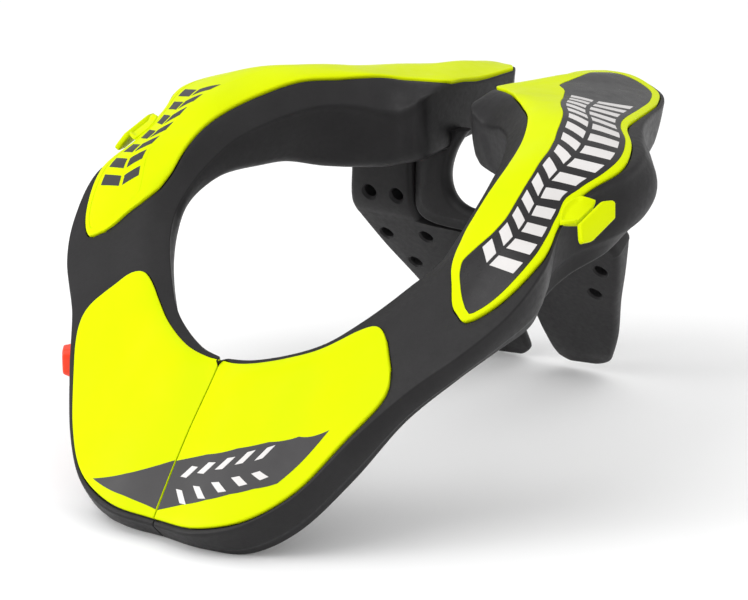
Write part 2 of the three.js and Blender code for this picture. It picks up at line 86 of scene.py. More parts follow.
class Nodes:
    """A short way to build the node tree of a material or of the sky."""

    def __init__(self, owner: bpy.types.ID, shader: str, place: str) -> None:
        """Open the owner's tree.

        Args:
            owner: the material or world that the tree belongs to.
            shader: the name of its shader node.
            place: the coordinates that its textures lie on.
        """
        self.owner = owner
        owner.use_nodes = True
        self.tree = owner.node_tree
        self.shader = self.tree.nodes[shader]
        self.place = self.tree.nodes.new("ShaderNodeTexCoord").outputs[place]

    def feed(self, node: bpy.types.Node, inputs: dict) -> None:
        """Set or link a node's inputs.

        Args:
            node: the node.
            inputs: for each input socket, a value or the socket that feeds it.
        """
        for key, value in inputs.items():
            if isinstance(value, Socket):
                self.tree.links.new(value, node.inputs[key])
            else:
                node.inputs[key].default_value = value

    def add(self, kind: str, out: str | int, inputs: dict, **settings: object) -> Socket:
        """Add a node and feed it.

        Args:
            kind: the node's type.
            out: the output asked for.
            inputs: for each input socket, a value or the socket that feeds it.
            **settings: the node's own properties.

        Returns:
            The output.
        """
        node = self.tree.nodes.new(kind)
        for key, value in settings.items():
            setattr(node, key, value)
        self.feed(node, inputs)
        return node.outputs[out]

    def noise(self, waves: Waves) -> Socket:
        """The factor of a soft noise, from 0 to 1."""
        sizes = {"Scale": waves.per_metre, "Detail": waves.detail, "Roughness": 0.55, "W": waves.seed}
        return self.add("ShaderNodeTexNoise", "Fac", {"Vector": self.place, **sizes}, noise_dimensions="4D")

    def spread(self, fac: Socket, source: tuple[float, float], to: tuple[float, float]) -> Socket:
        """A factor stretched from one range to another."""
        ends = zip(("From Min", "From Max", "To Min", "To Max"), (*source, *to))
        return self.add("ShaderNodeMapRange", "Result", {"Value": fac, **dict(ends)})

    def blend(self, fac: Socket, a: Colour, b: Colour) -> Socket:
        """Two linear colours mixed by a factor."""
        return self.add("ShaderNodeMix", 2, {0: fac, 6: (*a, 1), 7: (*b, 1)}, data_type="RGBA")

    def bump(self, height: Socket, depth: float, **under: Socket) -> Socket:
        """A normal from a height that reaches some metres, on top of the normal given."""
        relief = {"Height": height, "Strength": 1.0, "Distance": depth, **under}
        return self.add("ShaderNodeBump", "Normal", relief)


@dataclass(frozen=True)
class SatinPlastic:
    """Coloured plastic with faint flow marks, a fine grain, a little drift of colour and gloss, and where set a
    painted glow.
    """

    name: str
    main: Colour
    turned: Colour
    roughness: tuple[float, float] = (0.30, 0.40)
    shine: float = 0.3
    # painted glow: emission in the finish's main colour, painted light that brightens the part though it is no
    # lamp
    painted_glow: float = 0.0
    flow: Waves = Waves(24.0, 3.0, 2.2, 0.00025)
    grain: Waves = Waves(900.0, 1.5, 5.1, 0.00002)
    gloss: Waves = Waves(160.0, 2.0, 9.0)
    drift: tuple[float, float] = (0.35, 0.75)
    gloss_drift: tuple[float, float] = (0.3, 0.7)

    def build(self) -> bpy.types.Material:
        """Build the finish.

        Returns:
            The material.
        """
        kit = Nodes(bpy.data.materials.new(self.name), "Principled BSDF", "Object")
        flow, grain, gloss = (kit.noise(waves) for waves in (self.flow, self.grain, self.gloss))
        kit.feed(kit.shader, {
            "Base Color": kit.blend(kit.spread(flow, self.drift, (0, 1)), self.main, self.turned),
            "Roughness": kit.spread(gloss, self.gloss_drift, self.roughness),
            "Normal": kit.bump(flow, self.flow.depth, Normal=kit.bump(grain, self.grain.depth)),
            "Specular IOR Level": self.shine,
        })
        # painted glow: the finish emits its own colour faintly, painted light
        if self.painted_glow:
            kit.feed(kit.shader, {"Emission Color": (*self.main, 1), "Emission Strength": self.painted_glow})
        return kit.owner


@dataclass(frozen=True)
class MouldedSkin(SatinPlastic):
    """Matte charcoal moulding with a fine pebbled grain and faint mottling."""

    name: str = "moulded_charcoal"
    main: Colour = (0.0108, 0.0101, 0.0109)
    turned: Colour = (0.0160, 0.0152, 0.0161)
    roughness: tuple[float, float] = (0.44, 0.56)
    shine: float = 0.24
    flow: Waves = Waves(38.0, 3.0, 1.3, 0.0003)
    grain: Waves = Waves(1400.0, 1.5, 4.1, 0.00006)
    gloss: Waves = Waves(420.0, 2.0, 7.7)
    drift: tuple[float, float] = (0.3, 0.7)


class Finish(Enum):
    """The finishes of the brace."""

    INK = MouldedSkin()
    # the yellow and the red carry a faint painted glow, emission that stands in for light
    YELLOW = SatinPlastic("fluorescent_yellow", (0.64, 0.75, 0.001), (0.60, 0.71, 0.001), shine=0.03, painted_glow=0.03)
    PRINT = SatinPlastic("glossy_dark_print", (0.013, 0.012, 0.013), (0.018, 0.017, 0.018), (0.24, 0.34), 0.28)
    PALE_INK = SatinPlastic("pale_grey_ink", (0.66, 0.64, 0.63), (0.72, 0.70, 0.69), (0.32, 0.42))
    DARK_INK = SatinPlastic("dark_grey_ink", (0.036, 0.034, 0.036), (0.044, 0.042, 0.043), (0.38, 0.48))
    RED = SatinPlastic("orange_red_plastic", (0.92, 0.050, 0.012), (0.84, 0.040, 0.010), painted_glow=0.05)

    @property
    def material(self) -> bpy.types.Material:
        """The finish's material, built when it is first asked for."""
        return bpy.data.materials.get(self.value.name) or self.value.build()


# ---------------------------------------------------------------- shape of the brace

STATION_COLUMNS = (
    "inner_x", "inner_y", "inner_z", "outer_x", "outer_y", "outer_z", "band_at", "band_z",
    "crest_at", "crest_z", "side_drop", "side_tuck", "bulge", "neck_drop", "neck_tuck",
)
# The stations of a half, from the front seam round the arm to the gap at the top rear,
# as shares of the half width, the depth and the height.
STATIONS = (
    (0.000, 0.000, 0.450, 0.000, -0.198, 0.054, 0.15, 0.392, 0.50, 0.266, 0.050, 0.15, 0.000, 0.112, -0.06),
    (0.112, 0.014, 0.456, 0.190, -0.206, 0.066, 0.15, 0.440, 0.50, 0.300, 0.065, 0.18, 0.004, 0.112, -0.06),
    (0.240, 0.044, 0.481, 0.366, -0.180, 0.108, 0.15, 0.472, 0.50, 0.344, 0.106, 0.18, 0.006, 0.118, -0.06),
    (0.344, 0.076, 0.516, 0.516, -0.122, 0.196, 0.15, 0.506, 0.50, 0.394, 0.122, 0.12, 0.010, 0.122, -0.07),
    (0.430, 0.114, 0.569, 0.645, -0.048, 0.344, 0.18, 0.561, 0.55, 0.478, 0.138, 0.10, 0.014, 0.125, -0.06),
    (0.496, 0.148, 0.619, 0.766, 0.028, 0.466, 0.22, 0.612, 0.60, 0.550, 0.106, 0.11, 0.014, 0.125, -0.05),
    (0.552, 0.184, 0.669, 0.904, 0.092, 0.569, 0.25, 0.672, 0.60, 0.634, 0.100, 0.13, 0.014, 0.106, -0.03),
    (0.600, 0.232, 0.719, 0.992, 0.164, 0.660, 0.28, 0.756, 0.55, 0.732, 0.122, 0.14, 0.014, 0.088, 0.00),
    (0.608, 0.280, 0.775, 1.024, 0.244, 0.762, 0.20, 0.828, 0.46, 0.826, 0.188, 0.14, 0.012, 0.081, 0.06),
    (0.600, 0.336, 0.831, 0.976, 0.332, 0.838, 0.19, 0.897, 0.48, 0.896, 0.225, 0.14, 0.000, 0.090, 0.09),
    (0.576, 0.400, 0.881, 0.980, 0.412, 0.900, 0.19, 0.941, 0.46, 0.961, 0.250, 0.14, 0.004, 0.112, 0.10),
    (0.520, 0.480, 0.919, 1.036, 0.496, 0.944, 0.18, 0.981, 0.44, 0.997, 0.256, 0.15, 0.052, 0.156, 0.15),
    (0.440, 0.552, 0.944, 0.988, 0.580, 0.962, 0.18, 1.012, 0.44, 1.024, 0.250, 0.14, 0.092, 0.190, 0.24),
    (0.336, 0.608, 0.944, 0.884, 0.652, 0.969, 0.20, 1.019, 0.44, 1.025, 0.231, 0.12, 0.092, 0.220, 0.29),
    (0.262, 0.634, 0.931, 0.792, 0.736, 0.969, 0.18, 1.019, 0.47, 1.017, 0.206, 0.10, 0.036, 0.222, 0.24),
    (0.214, 0.648, 0.930, 0.716, 0.828, 0.956, 0.16, 1.014, 0.47, 1.006, 0.181, 0.08, 0.012, 0.222, 0.17),
    (0.176, 0.654, 0.940, 0.632, 0.936, 0.938, 0.15, 1.006, 0.44, 1.003, 0.150, 0.06, 0.006, 0.214, 0.11),
    (0.146, 0.660, 0.953, 0.520, 1.024, 0.931, 0.14, 1.001, 0.44, 0.998, 0.131, 0.05, 0.004, 0.216, 0.08),
    (0.122, 0.667, 0.965, 0.352, 1.060, 0.950, 0.15, 0.998, 0.56, 0.996, 0.138, 0.05, 0.004, 0.212, 0.06),
    (0.107, 0.682, 0.972, 0.200, 1.040, 0.959, 0.18, 0.994, 0.60, 0.974, 0.144, 0.05, 0.004, 0.196, 0.05),
    (0.104, 0.712, 0.975, 0.124, 0.996, 0.962, 0.20, 0.985, 0.60, 0.965, 0.150, 0.05, 0.000, 0.175, 0.05),
)
# Outlines: station, inner and outer edge as shares across the top face.
CHEST_OUTLINE = (
    (0.00, 0.015, 0.965), (0.60, 0.050, 0.965), (1.40, 0.100, 0.965), (2.20, 0.110, 0.970),
    (3.00, 0.120, 0.965), (3.60, 0.150, 0.955), (4.10, 0.190, 0.945), (4.40, 0.230, 0.930),
    (4.58, 0.280, 0.900), (4.70, 0.360, 0.840), (4.76, 0.470, 0.720),
)
ARM_OUTLINE = (
    (6.24, 0.640, 0.740), (6.27, 0.590, 0.780), (6.34, 0.530, 0.800), (6.45, 0.460, 0.820),
    (6.70, 0.315, 0.848), (7.00, 0.228, 0.872), (7.30, 0.182, 0.892), (7.86, 0.155, 0.930),
    (8.25, 0.165, 0.960), (8.60, 0.180, 0.975), (9.10, 0.195, 0.975), (9.60, 0.200, 0.972),
    (10.10, 0.195, 0.975), (10.60, 0.178, 0.970), (11.15, 0.165, 0.950), (11.74, 0.160, 0.926),
    (12.40, 0.158, 0.908), (13.20, 0.158, 0.912), (14.20, 0.158, 0.955), (15.30, 0.158, 0.970),
    (16.00, 0.158, 0.970), (17.00, 0.160, 0.970), (18.00, 0.165, 0.972), (19.00, 0.180, 0.970),
    (19.75, 0.195, 0.965),
)
FIELD_OUTLINE = (
    (6.42, 0.700, 0.765), (6.48, 0.615, 0.782), (6.60, 0.510, 0.798), (6.78, 0.405, 0.815),
    (7.02, 0.350, 0.830), (7.43, 0.375, 0.850), (7.98, 0.450, 0.880), (8.40, 0.495, 0.905),
    (8.78, 0.512, 0.925), (9.10, 0.519, 0.922), (9.55, 0.519, 0.892), (9.98, 0.503, 0.920),
    (10.35, 0.480, 0.925), (10.85, 0.430, 0.905), (11.40, 0.403, 0.890), (12.00, 0.410, 0.872),
    (12.60, 0.425, 0.860), (13.20, 0.435, 0.865), (14.40, 0.465, 0.912), (15.50, 0.460, 0.928),
    (16.60, 0.430, 0.928), (17.00, 0.460, 0.928), (17.30, 0.520, 0.926), (17.60, 0.600, 0.922),
    (18.10, 0.740, 0.905), (18.25, 0.790, 0.895),
)


def weights(s: Array) -> Arrays:
    """A smooth step's weights at s: of its start, the slope there, its end and the slope there."""
    s2, s3 = s * s, s * s * s
    return 2 * s3 - 3 * s2 + 1, s3 - 2 * s2 + s, 3 * s2 - 2 * s3, s3 - s2


def ramp(at: Array, start: float, end: float) -> Array:
    """A soft step from 0 at start to 1 at end."""
    x = np.clip((at - start) / (end - start), 0, 1)
    return x * x * (3 - 2 * x)


def hump(at: Array, span: tuple[float, float, float, float]) -> Array:
    """A soft hump: 0 up to the span's first place, 1 from its second to its third, 0 from its last."""
    return ramp(at, *span[:2]) * (1 - ramp(at, *span[2:]))


def unit(way: Array) -> Array:
    """Directions brought to length 1."""
    return way / np.linalg.norm(way, axis=-1, keepdims=True)


def crowded(start: float, end: float, step: float, share: float) -> Array:
    """Places from start to end about a step apart, by a share drawn together towards both ends."""
    t = np.linspace(0, 1, max(2, round((end - start) / step)) + 1)
    return start + (end - start) * ((1 - share) * t + share * (1 - np.cos(np.pi * t)) / 2)


def monotone(places: Array, values: Array, at: Array) -> Array:
    """Read a smooth curve through knots that never overshoots them.

    Args:
        places: the knots' places, rising along the first axis.
        values: the knots' values; both may carry more axes that match those of the places asked for.
        at: the places asked for.

    Returns:
        The curve's values there.
    """
    shape = np.broadcast(places[0], values[0], at).shape
    x, y = ([np.broadcast_to(knot, shape) for knot in knots] for knots in (places, values))
    steps = [b - a for a, b in zip(x, x[1:])]
    slopes = [(b - a) / step for a, b, step in zip(y, y[1:], steps)]
    tangents = [slopes[0]]
    for a, b in zip(slopes, slopes[1:]):
        same = a * b > 0
        tangents.append(np.where(same, 2 * a * b / np.where(same, a + b, 1.0), 0.0))
    tangents.append(slopes[-1])
    result = np.zeros(shape)
    for i, step in enumerate(steps):
        w = weights(np.clip((at - x[i]) / step, 0, 1))
        piece = w[0] * y[i] + w[1] * step * tangents[i] + w[2] * y[i + 1] + w[3] * step * tangents[i + 1]
        result = np.where(at >= x[i], piece, result) if i else piece
    return result


@dataclass(frozen=True)
class Outline:
    """The inner and outer edge of a panel, read smoothly along the half."""

    rows: tuple[tuple[float, float, float], ...]

    def edges(self, u: Array) -> Arrays:
        """The inner and the outer edge at places along the half, as shares across the top face."""
        at, *edges = np.array(self.rows).T
        return tuple(monotone(at, edge, np.clip(u, at[0], at[-1])) for edge in edges)

    @property
    def ends(self) -> list[float]:
        """The places where the outline begins and ends."""
        return [self.rows[0][0], self.rows[-1][0]]


@dataclass(frozen=True)
class BraceForm:
    """The main form of the brace in metres: a left half, and the twist in which the brace lies."""

    half_width: float = 0.125
    depth: float = 0.250
    height: float = 0.160
    front_to_middle: float = 0.107
    seam_gap: float = 0.0006
    rear_twist: float = 0.0024
    twist_blend: float = 0.030
    last: float = float(len(STATIONS) - 1)

    def columns(self, u: Array) -> dict[str, Array]:
        """Read the station table between its rows.

        Args:
            u: places along the half.

        Returns:
            Each named column at those places.
        """
        table, end = np.array(STATIONS), len(STATIONS) - 1
        u = np.asarray(u, float)
        i = np.clip(np.floor(u).astype(int), 0, end - 1)
        a, b, c, d = (table[np.clip(i + k, 0, end)] for k in (-1, 0, 1, 2))
        before = np.where((i == 0)[..., None], c - b, (c - a) / 2)
        after = np.where((i == end - 1)[..., None], c - b, (d - b) / 2)
        w = weights((u - i)[..., None])
        rows = w[0] * b + w[1] * before + w[2] * c + w[3] * after
        return {name: rows[..., k] for k, name in enumerate(STATION_COLUMNS)}

    def top(self, u: Array, v: Array) -> Array:
        """Points of the left half's top face.

        Args:
            u: places along the half.
            v: shares across it, 0 at the neck and 1 at the outer rim.

        Returns:
            Points with x, y, z on the last axis.
        """
        u, v = np.broadcast_arrays(u, v)
        r = self.columns(u)
        z = monotone([0.0 * u, r["band_at"], r["crest_at"], 0.0 * u + 1],
                     [r[row + "_z"] for row in ("inner", "band", "crest", "outer")], v)
        x, y = (r["inner_" + k] + (r["outer_" + k] - r["inner_" + k]) * v for k in "xy")
        x, y = self.half_width * x + self.seam_gap / 2, self.depth * y - self.front_to_middle
        return np.stack([x, y, self.height * z], -1)

    def ahead(self, u: Array, v: Array) -> Array:
        """The way along the half at (u, v) over a tenth of a station."""
        return self.top(np.minimum(u + 0.05, self.last), v) - self.top(np.maximum(u - 0.05, 0), v)

    def stride(self, u: Array, v: Array) -> Array:
        """Metres that one station's step covers at (u, v)."""
        return np.linalg.norm(self.ahead(u, v), axis=-1) / 0.1

    def normal(self, u: Array, v: Array) -> Array:
        """Directions square to the top face, of length 1, at (u, v)."""
        across = self.top(u, np.minimum(v + 0.02, 1)) - self.top(u, np.maximum(v - 0.02, 0))
        return unit(np.cross(across, self.ahead(u, v)))

    def lifted(self, u: Array, v: Array, height: Array) -> Array:
        """Points at a height above the top face at (u, v), kept on their own side of the front seam."""
        points = self.top(u, v) + self.normal(u, v) * np.asarray(height, float)[..., None]
        return np.maximum(points, (self.seam_gap / 2, -np.inf, -np.inf))

    def width(self, u: Array) -> Array:
        """Straight distance across the top face at u."""
        return np.linalg.norm(self.top(u, 1) - self.top(u, 0), axis=-1)

    def corners(self, u: Array) -> dict[str, Array]:
        """The cross-section's corners.

        Args:
            u: places along the half.

        Returns:
            Points inner, outer, low and under, the direction across, and the bulge in metres.
        """
        r = {name: column[..., None] for name, column in self.columns(u).items()}
        inner, outer = self.top(u, 0), self.top(u, 1)
        flat, up = (outer - inner) * (1, 1, 0), np.array([0, 0, self.height])
        low = outer - flat * r["side_tuck"] - up * r["side_drop"]
        under = inner + flat * r["neck_tuck"] - up * r["neck_drop"]
        return {"inner": inner, "outer": outer, "low": low, "under": under, "across": unit(flat),
                "bulge": r["bulge"] * self.half_width}

    def lying(self, points: Array, side: Side) -> Array:
        """Put points of the left half on a side, with the twist in which the brace lies.

        Args:
            points: points of the left half.
            side: the side to put them on.

        Returns:
            The points as they lie.
        """
        placed = np.array(points, float) * (side.value, 1, 1)
        back = np.maximum(0, (placed[..., 1] + self.front_to_middle) / self.depth)
        placed[..., 2] += self.rear_twist * np.clip(placed[..., 0] / self.twist_blend, -1, 1) * back**2
        return placed


FORM = BraceForm()


# ---------------------------------------------------------------- mesh making


def put(name: str, data: bpy.types.ID, finish: bpy.types.Material | None = None) -> Piece:
    """Put an object in the scene.

    Args:
        name: its name.
        data: its mesh, light or camera.
        finish: its material.

    Returns:
        The object.
    """
    made = bpy.data.objects.new(name, data)
    bpy.context.scene.collection.objects.link(made)
    if finish:
        data.materials.append(finish)
    return made


def soften(piece: Piece, angle: float) -> None:
    """Shade a piece smoothly except at edges sharper than an angle in degrees."""
    piece.data.shade_smooth()
    piece.data.set_sharp_from_angle(angle=math.radians(angle))


@dataclass
class Surface:
    """Vertices and faces that grow until they become one mesh, which lies as the brace does on its side."""

    side: Side
    points: list[Array] = field(default_factory=list)
    faces: list[tuple[int, ...]] = field(default_factory=list)
    count: int = 0

    def add_points(self, points: Array) -> int:
        """Append points.

        Args:
            points: points of the left half, with x, y, z on the last axis.

        Returns:
            The number of the first of them.
        """
        first = self.count
        self.points.append(FORM.lying(points, self.side).reshape(-1, 3))
        self.count += len(self.points[-1])
        return first

    def tube(self, rings: Array, capped: bool = True) -> None:
        """Skin closed rings of equally many points.

        Args:
            rings: points, ring by ring.
            capped: fill the first and the last ring.
        """
        n, m = np.shape(rings)[:2]
        first = self.add_points(rings)
        last = first + (n - 1) * m
        for a in range(first, last, m):
            self.faces.extend((a + j, a + (j + 1) % m, a + m + (j + 1) % m, a + m + j) for j in range(m))
        if capped:
            self.faces += [tuple(range(first + m - 1, first - 1, -1)), tuple(range(last, last + m))]

    def plate(self, top: Array, bottom: Array) -> None:
        """Close a plate between two grids whose borders meet at the same places.

        Args:
            top: the upper grid of points.
            bottom: the lower grid, of the same shape.
        """
        rings = np.concatenate([top, bottom[:, ::-1]], axis=1)
        ends = np.concatenate([bottom, bottom[:, ::-1]], axis=1)
        self.tube(np.concatenate([ends[:1], rings, ends[-1:]], axis=0), capped=False)

    def build(self, name: str, finish: Finish, smooth: float = 38.0) -> Piece:
        """Turn the surface into an object.

        Args:
            name: the piece's name.
            finish: its finish.
            smooth: edges sharper than this many degrees stay sharp.

        Returns:
            The new object.
        """
        mesh = bpy.data.meshes.new(name)
        mesh.from_pydata(np.concatenate(self.points).tolist(), [], self.faces)
        bm = bmesh.new()
        bm.from_mesh(mesh)
        bmesh.ops.remove_doubles(bm, verts=bm.verts, dist=2e-6)
        bmesh.ops.dissolve_degenerate(bm, edges=bm.edges, dist=1e-7)
        bmesh.ops.recalc_face_normals(bm, faces=bm.faces)
        bm.to_mesh(mesh)
        bm.free()
        made = put(name, mesh, finish.material)
        soften(made, smooth)
        return made


def block(name: str, near: list[Vector], far: list[Vector], edge: float, whole: bool = True) -> bpy.types.Mesh:
    """A block between two rings of corners, with rounded edges.

    Args:
        name: the mesh's name.
        near: the corners of one end.
        far: the corners of the other end, as many.
        edge: how wide the rounding is, 0 for none.
        whole: round every edge, or else only those that touch the far end.

    Returns:
        The mesh.
    """
    bm = bmesh.new()
    low, high = ([bm.verts.new(corner) for corner in ring] for ring in (near, far))
    bm.faces.new(low)
    bm.faces.new(high[::-1])
    for i in range(len(low)):
        bm.faces.new((low[i - 1], low[i], high[i], high[i - 1]))
    bmesh.ops.recalc_face_normals(bm, faces=bm.faces)
    if edge:
        rim = [line for line in bm.edges if whole or any(v in high for v in line.verts)]
        bmesh.ops.bevel(bm, geom=rim, offset=edge, segments=4, profile=0.5, affect="EDGES")
    mesh = bpy.data.meshes.new(name)
    bm.to_mesh(mesh)
    bm.free()
    return mesh


def keep_largest(piece: Piece) -> None:
    """Keep only the largest connected part of a piece's mesh.

    Args:
        piece: the object.
    """
    bm = bmesh.new()
    bm.from_mesh(piece.data)
    left = set(bm.verts)
    parts: list[list[bmesh.types.BMVert]] = []
    while left:
        part, edge = [], [left.pop()]
        while edge:
            here = edge.pop()
            part.append(here)
            near = {link.other_vert(here) for link in here.link_edges} & left
            left -= near
            edge += near
        parts.append(part)
    for part in sorted(parts, key=len)[:-1]:
        bmesh.ops.delete(bm, geom=part, context="VERTS")
    bm.to_mesh(piece.data)
    bm.free()


def cut_away(piece: Piece, angle: float, *cutters: tuple[Piece, float]) -> None:
    """Cut other objects' volumes out of a piece, keep its largest part and shade it again.

    Args:
        piece: the object to cut.
        angle: edges sharper than this many degrees stay sharp.
        *cutters: the objects to take away, each with how far it is lowered while it cuts.
    """
    for cutter, lower in cutters:
        cutter.location.z -= lower
        cut = piece.modifiers.new("cut", "BOOLEAN")
        cut.operation = "DIFFERENCE"
        cut.solver = "EXACT"
        cut.object = cutter
        bpy.context.view_layer.update()
        graph = bpy.context.evaluated_depsgraph_get()
        mesh = bpy.data.meshes.new_from_object(piece.evaluated_get(graph))
        piece.modifiers.clear()
        old, piece.data = piece.data, mesh
        bpy.data.meshes.remove(old)
        cutter.location.z += lower
    keep_largest(piece)
    soften(piece, angle)


def settle(piece: Piece, slot: Slot, *nodes: str, body: str = "brace") -> None:
    """Hang a finished piece on the body that it moves with and hide the plain solids that it replaces.

    Args:
        piece: the finished piece.
        slot: not used.
        *nodes: the plain solids that it replaces.
        body: the moving body that it belongs to.
    """
    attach(piece, body)
    if nodes:
        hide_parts(*nodes)
    LOG.info("%s: %d faces", piece.name, len(piece.data.polygons))


def rounded(a: Array, da: Array, b: Array, db: Array, count: int) -> Array:
    """Points inside a smooth corner between two points.

    Args:
        a: where the corner starts.
        da: the way it starts.
        b: where it ends.
        db: the way it ends.
        count: how many points lie between.

    Returns:
        The points, with the corner's steps on the second last axis.
    """
    w = weights((np.arange(1, count + 1) / (count + 1))[:, None])
    reach = np.linalg.norm(b - a, axis=-1, keepdims=True)
    a, da, b, db = (x[..., None, :] for x in (a, reach * unit(da), b, reach * unit(db)))
    return w[0] * a + w[1] * da + w[2] * b + w[3] * db


# ---------------------------------------------------------------- moulded halves

HALF_ANGLE = 50.0  # a half's edges sharper than this many degrees stay sharp
UNDER_GAP = 0.0004  # how far a piece keeps below the half that it sits under


@dataclass
class MouldedHalf:
    """One dark moulded half, with seats for its panels and a channel in the wall behind the strap hook."""

    side: Side
    ring_step: float = 0.075
    seat_gap: float = 0.0007
    seat_depth: float = 0.0022
    chest_stride: float = 0.022
    arm_stride: float = 0.024
    lip: float = 0.0004
    neck_share: float = 0.004
    rim_share: float = 0.99
    channel: float = 0.0030
    channel_along: tuple = (8.82, 9.0, 9.7, 12.0)
    channel_down: tuple = (0.02, 0.2, 0.86, 0.99)
    chamfer: float = 0.0013
    chamfer_along: tuple = (0.8, 2.6, 11.5, 14.0)
    chamfer_down: tuple = (0.70, 0.80, 0.93, 1.0)
    end_round: float = 0.0050
    end_from: float = 19.45
    notch: float = 0.0040
    notch_along: float = 0.16
    notch_reach: tuple = (0.001, 0.011)
    hollow: tuple = (0.006, 0.012)
    soft_from: float = 12.0
    soft_to: float = 15.0
    corner_steps: int = 6
    # The first rings at the front seam: place, open seat, and how far they are drawn in.
    seam_rings: tuple = ((0.0, 1, 0.0005), (0.008, 1, 0.0002), (0.016, 1, 0.0))
    seat_from: float = 0.03
    rear_clear: float = 0.04
    rear_rings: tuple = (0.07, 0.03, 0.0)
    wall_steps: tuple = (*np.linspace(0, 0.64, 9), 0.70, 0.73, 0.76, 0.80, 0.88, 1.0)
    # Where each face starts between its corners and how much of it is used: the share at the front,
    # and what softer corners towards the rear add to it.
    wall_span: tuple = (0.12, 0.06, 0.81, -0.22)
    under_span: tuple = (0.07, 0.16, 0.86, -0.36)
    neck_span: tuple = (0.12, 0.14, 0.74, -0.22)
    # How much of the ends' rounding each face and the corner after it take, from their start to their end.
    end_shares: tuple = ((0.3, 0.3), (0.32, 0.43), (0.45, 1), (1, 1), (1, 1), (1, 1), (1, 0.45), (0.43, 0.32))

    def places(self) -> Arrays:
        """The rings along the half.

        Returns:
            Their places, 1 where the panel seat is open and 0 elsewhere, and how far the ends draw them in.
        """
        chest_end = CHEST_OUTLINE[-1][0] + self.seat_gap / self.chest_stride
        arm_start = ARM_OUTLINE[0][0] - self.seat_gap / self.arm_stride
        arm_end, end = ARM_OUTLINE[-1][0] + self.rear_clear, FORM.last
        rows = list(self.seam_rings)
        for a, b, seated in ((self.seat_from, chest_end, 1), (chest_end, arm_start, 0), (arm_start, arm_end, 1)):
            rows += [(x, seated, 0.0) for x in crowded(a, b, self.ring_step, 0.5 * seated)]
        rows += [(x, 0, 0.0) for x in (0.5 * (arm_end + end), *(end - back for back in self.rear_rings))]
        u, seated, inset = np.array(rows, float).T
        turned = np.clip((u - self.end_from) / (end - self.end_from), 0, 1)
        return u, seated, np.maximum(inset, self.end_round * (1 - np.sqrt(1 - turned**2)))

    def seat_rows(self, u: Array, seated: Array) -> Arrays:
        """Rows across the top face, with the seat's steps.

        Args:
            u: the rings' places.
            seated: 1 where the seat is open, otherwise 0.

        Returns:
            Shares across the face and heights above it, ring by ring.
        """
        inner, outer = Outline(CHEST_OUTLINE + ARM_OUTLINE).edges(u)
        gap, lip = self.seat_gap / FORM.width(u), self.lip / FORM.width(u)
        low, high = inner - gap, np.minimum(outer + gap, self.rim_share - 1.2 * lip)
        turn, step, deep = (-k * seated for k in (0.25 * self.lip, self.lip, self.seat_depth))
        start, end = self.neck_share, self.rim_share
        rows = [(start + (np.maximum(low - lip, 0.006) - start) * f, 0 * u) for f in np.linspace(0, 1, 10)]
        rows += [(low - 0.25 * lip, turn), (low, step), (low, deep)]
        rows += [(low + (high - low) * f, deep) for f in (0.2, 0.4, 0.6, 0.8)]
        rows += [(high, deep), (high, step), (high + 0.25 * lip, turn)]
        rows += [(high + lip + (end - high - lip) * f, 0 * u) for f in np.linspace(0, 1, 4)]
        return tuple(np.stack(column, -1) for column in zip(*rows))

    def wall(self, u: Array, c: dict[str, Array], t: Array) -> Array:
        """Points of the outer wall, with the channel behind the hook and the chamfer along its foot.

        Args:
            u: the rings' places.
            c: the sections' corners.
            t: shares of the wall's drop, 0 at the rim and 1 at its foot, one for each ring.

        Returns:
            The points.
        """
        t, u = t[:, None], u[:, None]
        cut = self.channel * hump(u, self.channel_along) * hump(t, self.channel_down)
        cut += self.chamfer * hump(u, self.chamfer_along) * hump(t, self.chamfer_down)
        bulge = c["bulge"] * np.sin(np.pi * t)
        return c["outer"] + (c["low"] - c["outer"]) * t + c["across"] * (bulge - cut)

    def neck(self, c: dict[str, Array], t: Array, soft: Array) -> Array:
        """Points of the slightly hollow neck wall at a share of its height, one for each ring."""
        hollow = (self.hollow[0] + self.hollow[1] * soft) * FORM.half_width * np.sin(np.pi * t)
        return c["under"] + (c["inner"] - c["under"]) * t[:, None] - c["across"] * hollow[:, None]

    def rings(self) -> Array:
        """The closed cross-sections from the seam to the gap.

        Returns:
            Points, ring by ring.
        """
        u, seated, inset = self.places()
        shares, heights = self.seat_rows(u, seated)
        c, soft = FORM.corners(u), ramp(u, self.soft_from, self.soft_to)
        even = np.linspace(0, 1, 8)
        wall, under, neck = ([a + b * soft + (n + m * soft) * f for f in run] for (a, b, n, m), run in (
            (self.wall_span, self.wall_steps), (self.under_span, even), (self.neck_span, even)))
        faces = [FORM.lifted(u[:, None], shares, heights),
                 np.stack([self.wall(u, c, t) for t in wall], 1),
                 np.stack([c["low"] + (c["under"] - c["low"]) * t[:, None] for t in under], 1),
                 np.stack([self.neck(c, t, soft) for t in neck], 1)]
        ring: list[Array] = []
        for a, b in zip(faces, faces[1:] + faces[:1]):
            ring += [a, rounded(a[:, -1], a[:, -1] - a[:, -2], b[:, 0], b[:, 1] - b[:, 0], self.corner_steps)]
        share = np.concatenate([np.linspace(*ends, part.shape[1]) for ends, part in zip(self.end_shares, ring)])
        rings = np.concatenate(ring, axis=1)
        inward = unit(rings.mean(axis=1, keepdims=True) - rings)
        rings += inward * (inset[:, None] * share)[..., None]
        near_seam = self.notch * (1 - ramp(u, 0.0, self.notch_along))[:, None]
        to_neck = 1 - ramp(np.linalg.norm(rings - c["inner"][:, None], axis=-1), *self.notch_reach)
        rings += c["across"][:, None] * (near_seam * to_neck)[..., None]
        rings[..., 0] = np.maximum(rings[..., 0], FORM.seam_gap / 2)
        return rings

    def build(self) -> Piece:
        """Make the half.

        Returns:
            The half, not yet settled in the frame.
        """
        surface = Surface(self.side)
        surface.tube(self.rings())
        return surface.build(f"moulded_half_{self.side.word}", Finish.INK, HALF_ANGLE)


# ---------------------------------------------------------------- panels and print


